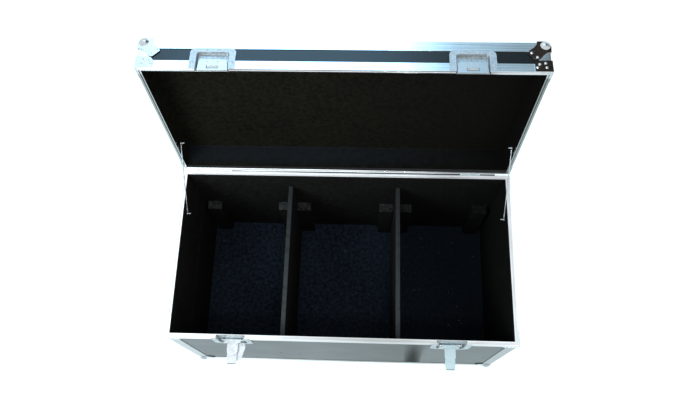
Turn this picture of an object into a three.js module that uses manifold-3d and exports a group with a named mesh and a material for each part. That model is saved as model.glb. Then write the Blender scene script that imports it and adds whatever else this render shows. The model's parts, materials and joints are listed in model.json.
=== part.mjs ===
// A cable flight case: laminated plywood box and lid in aluminium extrusions, with ball corners,
// recessed butterfly latches, wire lid stays, spring handles and two lift-out dividers.
// Millimetres, X along the case, Y to the rear, Z up. The origin is the centre of the floor panel's underside.
import * as THREE from "three";
import { mergeVertices } from "three/addons/utils/BufferGeometryUtils.js";
import Module from "manifold-3d";

const wasm = await Module();
wasm.setup();

// Driving dimensions of the box
const caseLength = 1128;
const caseDepth = 578;
const baseHeight = 540;
const lidHeight = 100;
const lidOpenAngle = 95.5;
const panelThickness = 9;
const liningThickness = 3;
const sheetWall = 1.6;
const seatGap = 0.3;
const jointGap = 0.6;
const overrun = 20;
const weldGap = 0.0005;

// Extrusions: the angle on every edge, and the tongue and groove at the joint
const angleFace = 34;
const jointFace = 27;
const lidFrameFace = 32;
const angleRadius = 2.4;
const lipDepth = 9;
const grooveWidth = 4.8;
const grooveDepth = 3;
const grooveDraft = 0.5;
const tongueSlack = 0.6;

// Corner braces over the joint extrusions
const braceReach = 47;
const braceHeight = 37;
const braceBevelReach = 9;
const braceBevelHeight = 11;

// Ball corners
const ballRadius = 20.5;
const ballInset = 12.5;
const leafWall = 1.6;
const leafEdgeReach = 34;
const leafReach = 61;
const leafEndWidth = 27;
const leafShoulder = 58;
const leafShoulderInset = 30;

// Dividers and the posts that hold them
const dividerThickness = 15;
const dividerLeftShare = 0.349;
const dividerRightShare = 0.3325;
const dividerTop = 447;
const dividerEndGap = 1.2;
const slotSlack = 1;
const postWidth = 53;
const postDepth = 32;
const postTop = 275;
const postRadius = 3;

// Hinges
const hingeSetback = 134;
const hingeWidth = 63;
const hingeLeafHeight = 30;
const hingeLeafWall = 1.8;
const hingeKnuckleRadius = 3.2;
const hingePinRadius = 1.6;
const hingePinOffset = 3.6;
const hingeSlack = 0.25;
const hingeKnuckles = 5;

// Latches: the pressed dish that spans the joint
const latchSetback = 210;
const latchFlangeWidth = 127;
const latchFlangeDrop = 103;
const latchFlangeRise = 69;
const latchFlangeLowRadius = 24;
const latchFlangeHighRadius = 15;
const latchRecessWidth = 90;
const latchRecessDrop = 90;
const latchRecessRise = 57;
const latchRecessLowRadius = 16;
const latchRecessHighRadius = 9;
const recessDraft = 3;
const dishWall = 1.2;

// Latches: the arm that swings out on its pin
const latchPinDrop = 62;
const latchPinDepth = 5.6;
const latchPinRadius = 2;
const latchBarrelRadius = 3.2;
const latchEarPlace = 36;
const latchEarWall = 2.4;
const latchEarRadius = 4.2;
const latchSpringRadius = 3.3;
const latchSpringGap = 0.8;
const armWidth = 35.8;
const armWall = 1.4;
const armLength = 52;
const armBaseWidth = 52;
const armBaseLength = 11;
const armChannelStart = 9;
const armBackClearance = 1.1;
const armSwing = 90;

// Latches: the hook plate, its eccentric and the butterfly handle
const hookThickness = 1.8;
const hookStart = 17;
const hookReach = 79;
const hookTipWidth = 26;
const hookTaper = 12;
const hookLip = 1.4;
const hookArmGap = 1.7;
const handleReach = 38;
const handleThrow = 4;
const handleDiscRadius = 15;
const handleDiscWall = 2;
const handleHookGap = 0.4;
const eccentricRadius = 7;
const eccentricWall = 2.7;
const spindleRadius = 2.6;
const spindleSlack = 0.4;
const spindleHeadRadius = 4.6;
const spindleHeadWall = 0.4;
const spindleHeadGap = 0.2;
const spineHalfWidth = 6.5;
const spineEarWall = 2.5;
const spineEarGap = 0.4;
const spineEarRise = 3.2;
const wingLength = 58;
const wingReach = 38;
const wingTipReach = 27;
const wingWall = 1.6;
const wingHingePlace = 3.6;
const wingPinRadius = 0.9;
const wingCorner = 14;
const wingHoleRadius = 2.2;

// Latches: the keeper in the lid's half of the dish
const keeperWidth = 84;
const keeperTaper = 2.6;
const keeperHeight = 36.5;
const keeperWall = 1.4;
const keeperWindowWidth = 33;
const keeperWindowLow = 5.8;
const keeperWindowHigh = 17;
const keeperTabLow = 10.2;
const keeperTabWall = 0.9;
const keeperEdgeGap = 0.4;
const keeperHookGap = 0.4;
const keeperRadius = 8;

// Spring handles on the two ends
const gripHeight = 300;
const gripFlangeWidth = 160;
const gripFlangeHeight = 118;
const gripFlangeRadius = 14;
const gripRecessWidth = 134;
const gripRecessHeight = 92;
const gripRecessRadius = 12;
const gripRecessDepth = 9.6;
const bailWidth = 104;
const bailDrop = 52;
const bailRodRadius = 3.6;
const bailSleeveRadius = 4.6;
const bailSleeveLength = 76;
const bailDepth = 4.6;
const bailBend = 14;
const bailEarWall = 3;
const bailEarGap = 1;
const bailEarRadius = 6.4;
const bailPinSlack = 0.4;

// Lid stays: wire rope with an eyelet crimped on each end
const stayRopeRadius = 1.6;
const stayFerruleRadius = 2.6;
const stayFerruleLength = 15;
const stayEyeRadius = 7;
const stayEyeBore = 2.6;
const stayEyeWall = 1.6;
const stayBaseSetback = 144;
const stayBaseDrop = 42;
const stayLidSetback = 135;
const stayLidRise = 26;

// Derived positions
const halfLength = caseLength / 2;
const halfDepth = caseDepth / 2;
const skin = sheetWall + seatGap;
const panelInner = skin + panelThickness;
const liningOuter = panelInner + seatGap;
const liningInner = liningOuter + liningThickness;
const lipInner = liningOuter + sheetWall;
const webDepth = grooveDepth + sheetWall;
const jointZ = baseHeight - skin;
const hingeY = halfDepth + hingePinOffset;
const hingeZ = jointZ + jointGap / 2;
const hingePlace = halfLength - hingeSetback;
const latchPlace = halfLength - latchSetback;
const dividerPlaces = { left: halfLength * dividerLeftShare, right: halfLength * dividerRightShare };
const dishFloor = liningOuter - seatGap - dishWall;
const floorLiningTop = panelThickness + seatGap + liningThickness;

// Finishes
const finish = (color, roughness, metalness) =>
  new THREE.MeshStandardMaterial({ color, roughness, metalness, flatShading: true });
const laminate = finish(0x14181b, 0.35, 0);
const aluminium = finish(0xd5dadc, 0.35, 0.9);
const steel = finish(0xc9ced2, 0.25, 1);
const lining = finish(0x10120f, 0.95, 0);
const floorLining = finish(0x10161d, 0.95, 0);
const boardCover = finish(0x1a1b19, 0.95, 0);
const wire = finish(0xb4b8ba, 0.4, 0.9);

// Solids
function solidOf(geometry) {
  const bare = geometry.index ? geometry.toNonIndexed() : geometry.clone();
  bare.deleteAttribute("normal");
  bare.deleteAttribute("uv");
  const welded = mergeVertices(bare, weldGap);
  const vertProperties = welded.attributes.position.array;
  const corners = [];
  for (let i = 0; i < welded.index.count; i += 3) {
    const [a, b, c] = [0, 1, 2].map((k) => welded.index.getX(i + k));
    if (a !== b && b !== c && c !== a) corners.push([a, b, c]);
  }
  const build = (triangles) => {
    const triVerts = new Uint32Array(triangles.flat());
    return new wasm.Manifold(new wasm.Mesh({ numProp: 3, vertProperties, triVerts }));
  };
  const made = build(corners);
  return made.volume() >= 0 ? made : build(corners.map(([a, b, c]) => [a, c, b]));
}

function geometryOf(solid) {
  const { numProp, numVert, vertProperties, triVerts } = solid.getMesh();
  const positions = new Float32Array(numVert * 3);
  for (let i = 0; i < numVert; i += 1) {
    positions.set(vertProperties.subarray(i * numProp, i * numProp + 3), i * 3);
  }
  const geometry = new THREE.BufferGeometry();
  geometry.setAttribute("position", new THREE.BufferAttribute(positions, 3));
  geometry.setIndex(new THREE.BufferAttribute(triVerts, 1));
  return geometry;
}

const join = (...shapes) => geometryOf(shapes.map(solidOf).reduce((sum, shape) => sum.add(shape)));
const cut = (body, ...tools) => geometryOf(tools.map(solidOf).reduce((rest, tool) => rest.subtract(tool), solidOf(body)));
const common = (body, tool) => geometryOf(solidOf(body).intersect(solidOf(tool)));
const moved = (geometry, x, y, z) => geometry.clone().translate(x, y, z);
const mapped = (geometry, matrix) => geometryOf(solidOf(geometry.clone().applyMatrix4(matrix)));

function block(x0, x1, y0, y1, z0, z1) {
  const box = new THREE.BoxGeometry(Math.abs(x1 - x0), Math.abs(y1 - y0), Math.abs(z1 - z0));
  return box.translate((x0 + x1) / 2, (y0 + y1) / 2, (z0 + z1) / 2);
}

// A round bar centred on the origin, along x, y or z
function rod(radius, length, along, sides = 16) {
  const bar = new THREE.CylinderGeometry(radius, radius, length, sides);
  if (along === "x") return bar.rotateZ(Math.PI / 2);
  return along === "z" ? bar.rotateX(Math.PI / 2) : bar;
}

// A shape drawn in x and z, thick from y = near to y = far
function pressed(shape, near, far, curveSegments = 5) {
  const sheet = new THREE.ExtrudeGeometry(shape, { depth: far - near, bevelEnabled: false, curveSegments });
  return sheet.rotateX(Math.PI / 2).translate(0, far, 0);
}

// A rectangle with one radius on its lower corners and one on its upper corners
function roundedShape(halfWidth, low, high, lowRadius, highRadius) {
  const shape = new THREE.Shape();
  shape.moveTo(-halfWidth + lowRadius, low);
  shape.lineTo(halfWidth - lowRadius, low);
  shape.absarc(halfWidth - lowRadius, low + lowRadius, lowRadius, -Math.PI / 2, 0);
  shape.lineTo(halfWidth, high - highRadius);
  shape.absarc(halfWidth - highRadius, high - highRadius, highRadius, 0, Math.PI / 2);
  shape.lineTo(-halfWidth + highRadius, high);
  shape.absarc(-halfWidth + highRadius, high - highRadius, highRadius, Math.PI / 2, Math.PI);
  shape.lineTo(-halfWidth, low + lowRadius);
  shape.absarc(-halfWidth + lowRadius, low + lowRadius, lowRadius, Math.PI, Math.PI * 1.5);
  return shape;
}

// The points of a shape's outline, each one once
function outlineOf(shape, divisions) {
  const points = shape.getPoints(divisions);
  return points.filter((point, i) => point.distanceTo(points[(i + 1) % points.length]) > weldGap);
}

// A closed skin over rings of points, with flat ends
function loft(rings, closed) {
  const count = rings[0].length;
  const positions = rings.flat().flatMap((point) => [point.x, point.y, point.z]);
  const index = [];
  const spans = closed ? rings.length : rings.length - 1;
  for (let i = 0; i < spans; i += 1) {
    const here = i * count;
    const next = ((i + 1) % rings.length) * count;
    for (let j = 0; j < count; j += 1) {
      const k = (j + 1) % count;
      index.push(here + j, next + j, next + k, here + j, next + k, here + k);
    }
  }
  if (!closed) {
    const flat = rings[0].map((point) => new THREE.Vector2(point.x, point.z));
    const last = (rings.length - 1) * count;
    const turned = THREE.ShapeUtils.isClockWise(flat);
    for (const [a, b, c] of THREE.ShapeUtils.triangulateShape(flat, [])) {
      const [p, q, r] = turned ? [a, c, b] : [a, b, c];
      index.push(p, q, r, last + p, last + r, last + q);
    }
  }
  const geometry = new THREE.BufferGeometry();
  geometry.setAttribute("position", new THREE.Float32BufferAttribute(positions, 3));
  geometry.setIndex(index);
  return geometry;
}

// A profile of (distance in from the outer face, height) points carried round the case with mitred corners
function mitredFrame(profile) {
  const corners = [[-1, -1], [1, -1], [1, 1], [-1, 1]];
  const rings = corners.map(([sx, sy]) =>
    profile.map(([inward, z]) => new THREE.Vector3(sx * (halfLength - inward), sy * (halfDepth - inward), z)),
  );
  return loft(rings, true);
}

// A pressed pan: flange sheet and drafted recess, open to the front
function pressedPan(flange, recess, flangeNear, flangeFar, floor, draft) {
  const near = flangeNear - overrun;
  const slope = draft / (floor - flangeNear);
  const ring = (outline, y) => outline.map((point) => new THREE.Vector3(point.x, y, point.y));
  const grown = (extra) => outlineOf(recess(extra), 2);
  const inner = loft([ring(grown(slope * overrun), near), ring(grown(-draft), floor)], false);
  const outerFar = floor + dishWall;
  const outer = loft([ring(grown(dishWall), flangeFar), ring(grown(dishWall - draft), outerFar)], false);
  return cut(join(pressed(flange, flangeNear, flangeFar), outer), inner);
}

const root = new THREE.Group();

function addPiece(group, name, geometry, material) {
  const mesh = new THREE.Mesh(geometry, material);
  mesh.name = name;
  group.add(mesh);
  return mesh;
}

// A group whose contents are modelled in the closed case and turned about a point by an angle about x
function turnedAboutX(parent, y, z, degrees) {
  const pivot = new THREE.Group();
  pivot.position.set(0, y, z);
  pivot.rotation.x = THREE.MathUtils.degToRad(degrees);
  const content = new THREE.Group();
  content.position.set(0, -y, -z);
  pivot.add(content);
  parent.add(pivot);
  return content;
}

const lid = turnedAboutX(root, hingeY, hingeZ, -lidOpenAngle);

// The two halves of the case are alike: h runs from the joint face towards the floor, or towards the lid's top
const halves = {
  base: { group: root, face: jointZ, toward: -1, height: baseHeight },
  lid: { group: lid, face: jointZ + jointGap, toward: 1, height: lidHeight - jointGap },
};
const level = (half, h) => half.face + half.toward * h;
const slab = (half, x0, x1, y0, y1, h0, h1) => block(x0, x1, y0, y1, level(half, h0), level(half, h1));

// Moves a shape drawn at one corner, with x and y running inwards and z along h, to a corner of a half
function cornerPlacement(half, sx, sy, fromJoint) {
  const up = fromJoint ? half.toward : -half.toward;
  const z = fromJoint ? half.face : level(half, half.height);
  const place = new THREE.Matrix4().makeTranslation(sx * halfLength, sy * halfDepth, z);
  return place.multiply(new THREE.Matrix4().makeScale(-sx, -sy, up));
}

const sides = { left: -1, right: 1 };
const ends = { front: -1, rear: 1 };

// Panels
const latchCutHalf = latchRecessWidth / 2 + dishWall + seatGap;
const latchCut = (half, reach, depth) =>
  Object.values(sides).map((side) =>
    slab(
      half,
      side * latchPlace - latchCutHalf,
      side * latchPlace + latchCutHalf,
      -halfDepth - overrun,
      -halfDepth + depth,
      -overrun,
      reach + dishWall + seatGap,
    ),
  );
const latchReach = { base: latchRecessDrop, lid: latchRecessRise };

function addPanels(name, half) {
  const outerX = halfLength - skin;
  const outerY = halfDepth - skin;
  const innerX = halfLength - panelInner - seatGap;
  const innerY = halfDepth - panelInner - seatGap;
  const top = webDepth + seatGap;
  const floor = half.height - skin;
  const wall = (end) => slab(half, -outerX, outerX, end * outerY, end * (outerY - panelThickness), top, floor);
  addPiece(half.group, `${name}_front_panel`, cut(wall(-1), ...latchCut(half, latchReach[name], halfDepth)), laminate);
  addPiece(half.group, `${name}_rear_panel`, wall(1), laminate);
  for (const [sideName, side] of Object.entries(sides)) {
    const panel = slab(half, side * outerX, side * (outerX - panelThickness), -innerY, innerY, top, floor);
    const hole = block(side * (outerX + overrun), side * (outerX - panelThickness - overrun), ...gripCutSpan());
    const shape = name === "base" ? cut(panel, hole) : panel;
    addPiece(half.group, `${name}_${sideName}_panel`, shape, laminate);
  }
  const flat = new THREE.BoxGeometry(2 * innerX, 2 * innerY, panelThickness, 3, 3, 1);
  flat.translate(0, 0, level(half, floor - panelThickness / 2));
  addPiece(half.group, name === "base" ? "base_floor_panel" : "lid_top_panel", flat, laminate);
}

function gripCutSpan() {
  const halfWidth = gripRecessWidth / 2 + dishWall + seatGap;
  const halfHeight = gripRecessHeight / 2 + dishWall + seatGap;
  return [-halfWidth, halfWidth, gripHeight - halfHeight, gripHeight + halfHeight];
}

addPanels("base", halves.base);
addPanels("lid", halves.lid);

// Linings: the base has five sheets, with the divider posts on the front and rear ones, and the lid one fitted tray
const liningX = halfLength - liningInner;
const liningY = halfDepth - liningInner;
const wallTop = lipDepth + seatGap;

function post(x0, x1, end) {
  const shape = new THREE.Shape();
  shape.moveTo(x0, 0);
  shape.lineTo(x1, 0);
  shape.lineTo(x1, postDepth - postRadius);
  shape.absarc(x1 - postRadius, postDepth - postRadius, postRadius, 0, Math.PI / 2);
  shape.lineTo(x0 + postRadius, postDepth);
  shape.absarc(x0 + postRadius, postDepth - postRadius, postRadius, Math.PI / 2, Math.PI);
  const foot = floorLiningTop + seatGap;
  const bar = new THREE.ExtrudeGeometry(shape, { depth: postTop - foot, bevelEnabled: false, curveSegments: 3 });
  const bury = liningThickness / 2;
  bar.scale(1, (postDepth + bury) / postDepth, 1);
  const place = new THREE.Matrix4().makeTranslation(0, end * (liningY + bury), foot);
  return mapped(bar, place.multiply(new THREE.Matrix4().makeScale(1, -end, 1)));
}

function addBaseLinings() {
  const half = halves.base;
  const foot = half.height - panelInner - seatGap;
  const slotHalf = dividerThickness / 2 + slotSlack;
  const endSlot = dividerThickness + 2 * slotSlack;
  const spans = Object.entries(sides).flatMap(([sideName, side]) => {
    const place = dividerPlaces[sideName];
    const starts = [place - slotHalf - postWidth, place + slotHalf, liningX - endSlot - postWidth];
    return starts.map((start) => [side * start, side * (start + postWidth)].sort((a, b) => a - b));
  });
  for (const [endName, end] of Object.entries(ends)) {
    const sheet = slab(half, -liningX, liningX, end * liningY, end * (liningY + liningThickness), wallTop, foot);
    const posts = spans.map(([x0, x1]) => post(x0, x1, end));
    addPiece(root, `base_${endName}_lining`, join(sheet, ...posts), lining);
  }
  for (const [sideName, side] of Object.entries(sides)) {
    const endY = liningY + liningThickness;
    const sheetFar = liningX + liningThickness;
    const sheet = slab(half, side * (liningX + seatGap), side * sheetFar, -endY, endY, wallTop, foot);
    const pocketFar = halfLength - skin - gripRecessDepth - dishWall - seatGap;
    const pocket = block(side * pocketFar, side * halfLength, ...gripCutSpan());
    addPiece(root, `base_${sideName}_lining`, cut(sheet, pocket), lining);
  }
  const x = liningX - seatGap;
  const y = liningY - seatGap;
  const bottom = panelThickness + seatGap;
  addPiece(root, "base_floor_lining", block(-x, x, -y, y, bottom, bottom + liningThickness), floorLining);
}

function addLidLining() {
  const half = halves.lid;
  const top = half.height - panelInner - seatGap;
  const outerX = liningX + liningThickness;
  const outerY = liningY + liningThickness;
  const tray = slab(half, -outerX, outerX, -outerY, outerY, wallTop, top);
  const hollow = slab(half, -liningX, liningX, -liningY, liningY, -overrun, top - liningThickness);
  addPiece(lid, "lid_lining", cut(tray, hollow), lining);
}

addBaseLinings();
addLidLining();

// The joint extrusion: an outer flange, a web with the tongue or the groove, and an inner lip
function jointProfile(half, halfRib, ribHeight) {
  const middle = lipInner / 2;
  const chamfer = seatGap;
  const points = [
    [0, -chamfer],
    [chamfer, 0],
    [middle - halfRib, 0],
    [middle - halfRib + grooveDraft, -ribHeight],
    [middle + halfRib - grooveDraft, -ribHeight],
    [middle + halfRib, 0],
    [lipInner, 0],
    [lipInner, -lipDepth],
    [liningOuter, -lipDepth],
    [liningOuter, -webDepth],
    [sheetWall, -webDepth],
    [sheetWall, -jointFace],
    [0, -jointFace],
  ];
  return points.map(([inward, down]) => [inward, level(half, -down)]);
}

function brace() {
  const shape = new THREE.Shape();
  shape.moveTo(-sheetWall, seatGap);
  shape.lineTo(braceReach, seatGap);
  shape.lineTo(braceReach, braceHeight - braceBevelHeight);
  shape.lineTo(braceReach - braceBevelReach, braceHeight);
  shape.lineTo(-sheetWall, braceHeight);
  const front = pressed(shape, -sheetWall, 0);
  const swap = new THREE.Matrix4().makeBasis(
    new THREE.Vector3(0, 1, 0),
    new THREE.Vector3(1, 0, 0),
    new THREE.Vector3(0, 0, 1),
  );
  return join(front, mapped(front, swap));
}

const bracePlate = brace();

function addJointFrame(name, half, halfRib, ribHeight) {
  const frame = mitredFrame(jointProfile(half, halfRib, ribHeight));
  const opened = cut(frame, ...latchCut(half, latchReach[name], liningOuter));
  const braces = Object.values(sides).flatMap((sx) =>
    Object.values(ends).map((sy) => mapped(bracePlate, cornerPlacement(half, sx, sy, true))),
  );
  addPiece(half.group, `${name}_joint_extrusion`, join(opened, ...braces), aluminium);
}

addJointFrame("base", halves.base, grooveWidth / 2, grooveDepth);
addJointFrame("lid", halves.lid, grooveWidth / 2 - tongueSlack, tongueSlack - grooveDepth);

// Ball corners: a ball over the corner and a riveted leaf on each of the three faces
const ballSphere = (radius) =>
  new THREE.SphereGeometry(radius, 16, 8).rotateX(Math.PI / 2).translate(ballInset, ballInset, ballInset);
const cornerOctant = () => block(-overrun, ballInset, -overrun, ballInset, -overrun, ballInset);
const trimRadius = ballRadius - leafWall - seatGap;

function leafShape() {
  const outer = -leafWall - seatGap;
  const endHalf = leafEndWidth / 2 / Math.SQRT2;
  const nearEnd = leafReach - 2 * endHalf;
  const shape = new THREE.Shape();
  shape.moveTo(outer, outer);
  shape.lineTo(leafEdgeReach, outer);
  shape.quadraticCurveTo(leafEdgeReach, leafShoulderInset / 2, leafShoulder, leafShoulderInset);
  shape.lineTo(leafReach, nearEnd);
  shape.lineTo(nearEnd, leafReach);
  shape.lineTo(leafShoulderInset, leafShoulder);
  shape.quadraticCurveTo(leafShoulderInset / 2, leafEdgeReach, outer, leafEdgeReach);
  return shape;
}

function ballCorner() {
  const leaf = new THREE.ExtrudeGeometry(leafShape(), { depth: leafWall, bevelEnabled: false, curveSegments: 3 });
  leaf.translate(0, 0, -leafWall - seatGap);
  const axes = [new THREE.Vector3(1, 0, 0), new THREE.Vector3(0, 1, 0), new THREE.Vector3(0, 0, 1)];
  const leaves = axes.map((_, i) => {
    const basis = new THREE.Matrix4().makeBasis(axes[i], axes[(i + 1) % 3], axes[(i + 2) % 3]);
    return leaf.clone().applyMatrix4(basis);
  });
  const farAway = leafReach + overrun;
  const inside = block(-seatGap, farAway, -seatGap, farAway, -seatGap, farAway);
  const core = join(cut(inside, cornerOctant()), common(inside, ballSphere(ballRadius - leafWall)));
  return cut(join(cut(join(...leaves), cornerOctant()), ballSphere(ballRadius)), core);
}

const cornerTrim = cut(cornerOctant(), ballSphere(trimRadius));
const ballPiece = ballCorner();

function eachCorner(run) {
  for (const [endName, sy] of Object.entries(ends)) {
    for (const [sideName, sx] of Object.entries(sides)) run(`${endName}_${sideName}`, sx, sy);
  }
}

function addBallCorners(name, half) {
  eachCorner((corner, sx, sy) => {
    const piece = mapped(ballPiece, cornerPlacement(half, sx, sy, false));
    addPiece(half.group, `${name}_ball_corner_${corner}`, piece, steel);
  });
}

addBallCorners("base", halves.base);
addBallCorners("lid", halves.lid);

// Angle extrusions: a mitred frame on the floor or the lid's top, and an upright on each corner
function edgeFrame(half, face) {
  const low = half.height;
  const bend = angleRadius * (1 - Math.SQRT1_2);
  const points = [
    [0, low - face],
    [0, low - angleRadius],
    [bend, low - bend],
    [angleRadius, low],
    [face, low],
    [face, low - sheetWall],
    [sheetWall, low - sheetWall],
    [sheetWall, low - face],
  ];
  const trims = Object.values(sides).flatMap((sx) =>
    Object.values(ends).map((sy) => mapped(cornerTrim, cornerPlacement(half, sx, sy, false))),
  );
  return cut(mitredFrame(points.map(([inward, h]) => [inward, level(half, h)])), ...trims);
}

function upright(length) {
  const shape = new THREE.Shape();
  shape.moveTo(angleFace, 0);
  shape.lineTo(angleFace, sheetWall);
  shape.lineTo(sheetWall, sheetWall);
  shape.lineTo(sheetWall, angleFace);
  shape.lineTo(0, angleFace);
  shape.lineTo(0, angleRadius);
  shape.absarc(angleRadius, angleRadius, angleRadius, Math.PI, Math.PI * 1.5);
  return new THREE.ExtrudeGeometry(shape, { depth: length, bevelEnabled: false, curveSegments: 2 });
}

function addAngles() {
  const start = braceHeight + seatGap;
  const base = halves.base;
  addPiece(root, "base_floor_frame", edgeFrame(base, angleFace), aluminium);
  const standing = moved(upright(base.height - angleFace - seatGap - start), 0, 0, start);
  eachCorner((corner, sx, sy) => {
    const piece = mapped(standing, cornerPlacement(base, sx, sy, true));
    addPiece(root, `base_corner_angle_${corner}`, piece, aluminium);
  });
  const short = moved(upright(lidHeight - jointGap - angleFace / 2 - start), 0, 0, start);
  const legs = Object.values(sides).flatMap((sx) =>
    Object.values(ends).map((sy) => mapped(short, cornerPlacement(halves.lid, sx, sy, true))),
  );
  addPiece(lid, "lid_edge_frame", join(edgeFrame(halves.lid, lidFrameFace), ...legs), aluminium);
}

addAngles();

// Hinges on the rear: the base's leaf carries the pin and every other knuckle
const knuckleWidth = hingeWidth / hingeKnuckles;
const knuckles = [...Array(hingeKnuckles).keys()].map((i) => (i + 0.5) * knuckleWidth - hingeWidth / 2);

function hingeLeaf(half, own, boreRadius) {
  const near = halfDepth + seatGap;
  const low = level(half, -hingeKnuckleRadius / 2);
  const far = level(half, hingeLeafHeight);
  const sheet = block(-hingeWidth / 2, hingeWidth / 2, near, near + hingeLeafWall, low, far);
  const barrel = (x, radius, width) => moved(rod(radius, width, "x", 12), x, hingeY, hingeZ);
  const clear = hingeKnuckleRadius + 2 * hingeSlack;
  const relief = (x) =>
    block(
      x - knuckleWidth / 2 - hingeSlack,
      x + knuckleWidth / 2 + hingeSlack,
      hingeY - clear,
      hingeY + clear,
      hingeZ - clear,
      hingeZ + clear,
    );
  const mine = knuckles.filter((_, i) => i % 2 === own);
  const others = knuckles.filter((_, i) => i % 2 !== own);
  const barrels = mine.map((x) => barrel(x, hingeKnuckleRadius, knuckleWidth));
  const bored = cut(join(sheet, ...barrels), ...others.map(relief));
  if (boreRadius > 0) return cut(bored, barrel(0, boreRadius, hingeWidth + overrun));
  return join(bored, barrel(0, hingePinRadius, hingeWidth));
}

const baseLeaf = hingeLeaf(halves.base, 0, 0);
const lidLeaf = hingeLeaf(halves.lid, 1, hingePinRadius + hingeSlack);
for (const [sideName, side] of Object.entries(sides)) {
  addPiece(root, `hinge_base_leaf_${sideName}`, moved(baseLeaf, side * hingePlace, 0, 0), steel);
  addPiece(lid, `hinge_lid_leaf_${sideName}`, moved(lidLeaf, side * hingePlace, 0, 0), steel);
}

// Butterfly latches, drawn closed and unlocked with x across, y in from the case's front face and z up from the joint
const latchOrigin = (side) => [side * latchPlace, -halfDepth, jointZ];
const latchFlangeFar = -seatGap;
const latchFlangeNear = -seatGap - dishWall;
const backPlateFar = dishFloor - armBackClearance;
const backPlateNear = backPlateFar - armWall;
const hookBack = backPlateNear - hookArmGap;
const hookFront = hookBack - hookThickness;
const discFar = hookFront - handleHookGap;
const discNear = discFar - handleDiscWall;
const wingMiddle = discNear - seatGap - wingWall / 2;
const hookHalfWidth = armWidth / 2 - armWall - seatGap;

function latchDish() {
  const flange = roundedShape(
    latchFlangeWidth / 2,
    -latchFlangeDrop,
    latchFlangeRise,
    latchFlangeLowRadius,
    latchFlangeHighRadius,
  );
  const recess = (extra) =>
    roundedShape(
      latchRecessWidth / 2 + extra,
      -latchRecessDrop - extra,
      latchRecessRise + extra,
      latchRecessLowRadius + extra,
      latchRecessHighRadius + extra,
    );
  return pressedPan(flange, recess, latchFlangeNear, latchFlangeFar, dishFloor, recessDraft);
}

function latchBaseDish(pan) {
  const wide = latchFlangeWidth;
  const lower = common(pan, block(-wide, wide, -wide, wide, -latchFlangeDrop - overrun, 0));
  const barrelHalf = armBaseWidth / 2;
  const ears = Object.values(sides).flatMap((side) => {
    const x = side * (latchEarPlace + latchEarWall / 2);
    const earFoot = block(
      side * latchEarPlace,
      side * (latchEarPlace + latchEarWall),
      latchPinDepth,
      dishFloor + dishWall / 2,
      -latchPinDrop - latchEarRadius,
      -latchPinDrop + latchEarRadius,
    );
    const springLength = latchEarPlace - barrelHalf - 2 * latchSpringGap;
    const spring = rod(latchSpringRadius, springLength, "x", 12);
    const springPlace = side * (barrelHalf + latchSpringGap + springLength / 2);
    return [
      moved(rod(latchEarRadius, latchEarWall, "x", 12), x, latchPinDepth, -latchPinDrop),
      earFoot,
      moved(spring, springPlace, latchPinDepth, -latchPinDrop),
    ];
  });
  const pin = rod(latchPinRadius, 2 * (latchEarPlace + latchEarWall), "x", 12);
  return join(lower, ...ears, moved(pin, 0, latchPinDepth, -latchPinDrop));
}

function latchLidDish(pan) {
  const wide = latchFlangeWidth;
  return common(pan, block(-wide, wide, -wide, wide, jointGap, latchFlangeRise + overrun));
}

function latchKeeper() {
  const near = hookBack + keeperHookGap;
  const far = near + keeperWall;
  const foot = dishFloor - seatGap;
  const outline = (inset) => {
    const low = jointGap + keeperEdgeGap + inset;
    const high = keeperHeight - inset;
    const wide = keeperWidth / 2 - inset;
    const narrow = wide - keeperTaper;
    const shape = new THREE.Shape();
    shape.moveTo(-wide, low);
    shape.lineTo(wide, low);
    shape.lineTo(narrow, high - keeperRadius);
    shape.quadraticCurveTo(narrow, high, narrow - keeperRadius, high);
    shape.lineTo(keeperRadius - narrow, high);
    shape.quadraticCurveTo(-narrow, high, -narrow, high - keeperRadius);
    return shape;
  };
  const window = roundedShape(keeperWindowWidth / 2, keeperWindowLow, keeperWindowHigh, seatGap, seatGap);
  const hollow = pressed(outline(keeperWall), far, foot + overrun, 3);
  const tray = cut(pressed(outline(0), near, foot, 3), hollow, pressed(window, near - overrun, far, 1));
  return join(tray, keeperTab(near, far, foot));
}

// The tab punched out of the keeper's window, bent back behind it
function keeperTab(near, far, foot) {
  const shape = new THREE.Shape();
  shape.moveTo(near + keeperWall / 2, keeperWindowHigh + keeperWall);
  shape.lineTo(near + keeperWall / 2, keeperWindowHigh);
  shape.lineTo(far, keeperWindowHigh);
  shape.lineTo(foot - keeperTabWall, keeperTabLow);
  shape.lineTo(foot, keeperTabLow);
  shape.lineTo(far + keeperTabWall, keeperWindowHigh + keeperWall);
  const width = keeperWindowWidth - 2 * keeperWall;
  const bar = new THREE.ExtrudeGeometry(shape, { depth: width, bevelEnabled: false });
  const axes = [new THREE.Vector3(0, 1, 0), new THREE.Vector3(0, 0, 1), new THREE.Vector3(1, 0, 0)];
  return mapped(bar, new THREE.Matrix4().makeBasis(...axes).setPosition(-width / 2, 0, 0));
}

const armZ = (reach) => reach - latchPinDrop;

function latchArm() {
  const half = armWidth / 2;
  const baseHalf = armBaseWidth / 2;
  const foot = block(-baseHalf, baseHalf, backPlateNear, backPlateFar, armZ(0), armZ(armBaseLength));
  const back = roundedShape(half, armZ(0), armZ(armLength), seatGap, half - armWall - seatGap);
  const plate = pressed(back, backPlateNear, backPlateFar, 4);
  const wall = (side) =>
    block(side * half, side * (half - armWall), hookFront, backPlateFar, armZ(armChannelStart), armZ(armLength - half));
  const barrel = moved(rod(latchBarrelRadius, armBaseWidth, "x", 14), 0, latchPinDepth, armZ(0));
  const bore = moved(rod(latchPinRadius + seatGap, armBaseWidth + overrun, "x", 12), 0, latchPinDepth, armZ(0));
  const hole = moved(rod(spindleRadius + spindleSlack, overrun, "y"), 0, backPlateFar, armZ(handleReach));
  return cut(join(plate, foot, wall(-1), wall(1), barrel), bore, hole);
}

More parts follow.
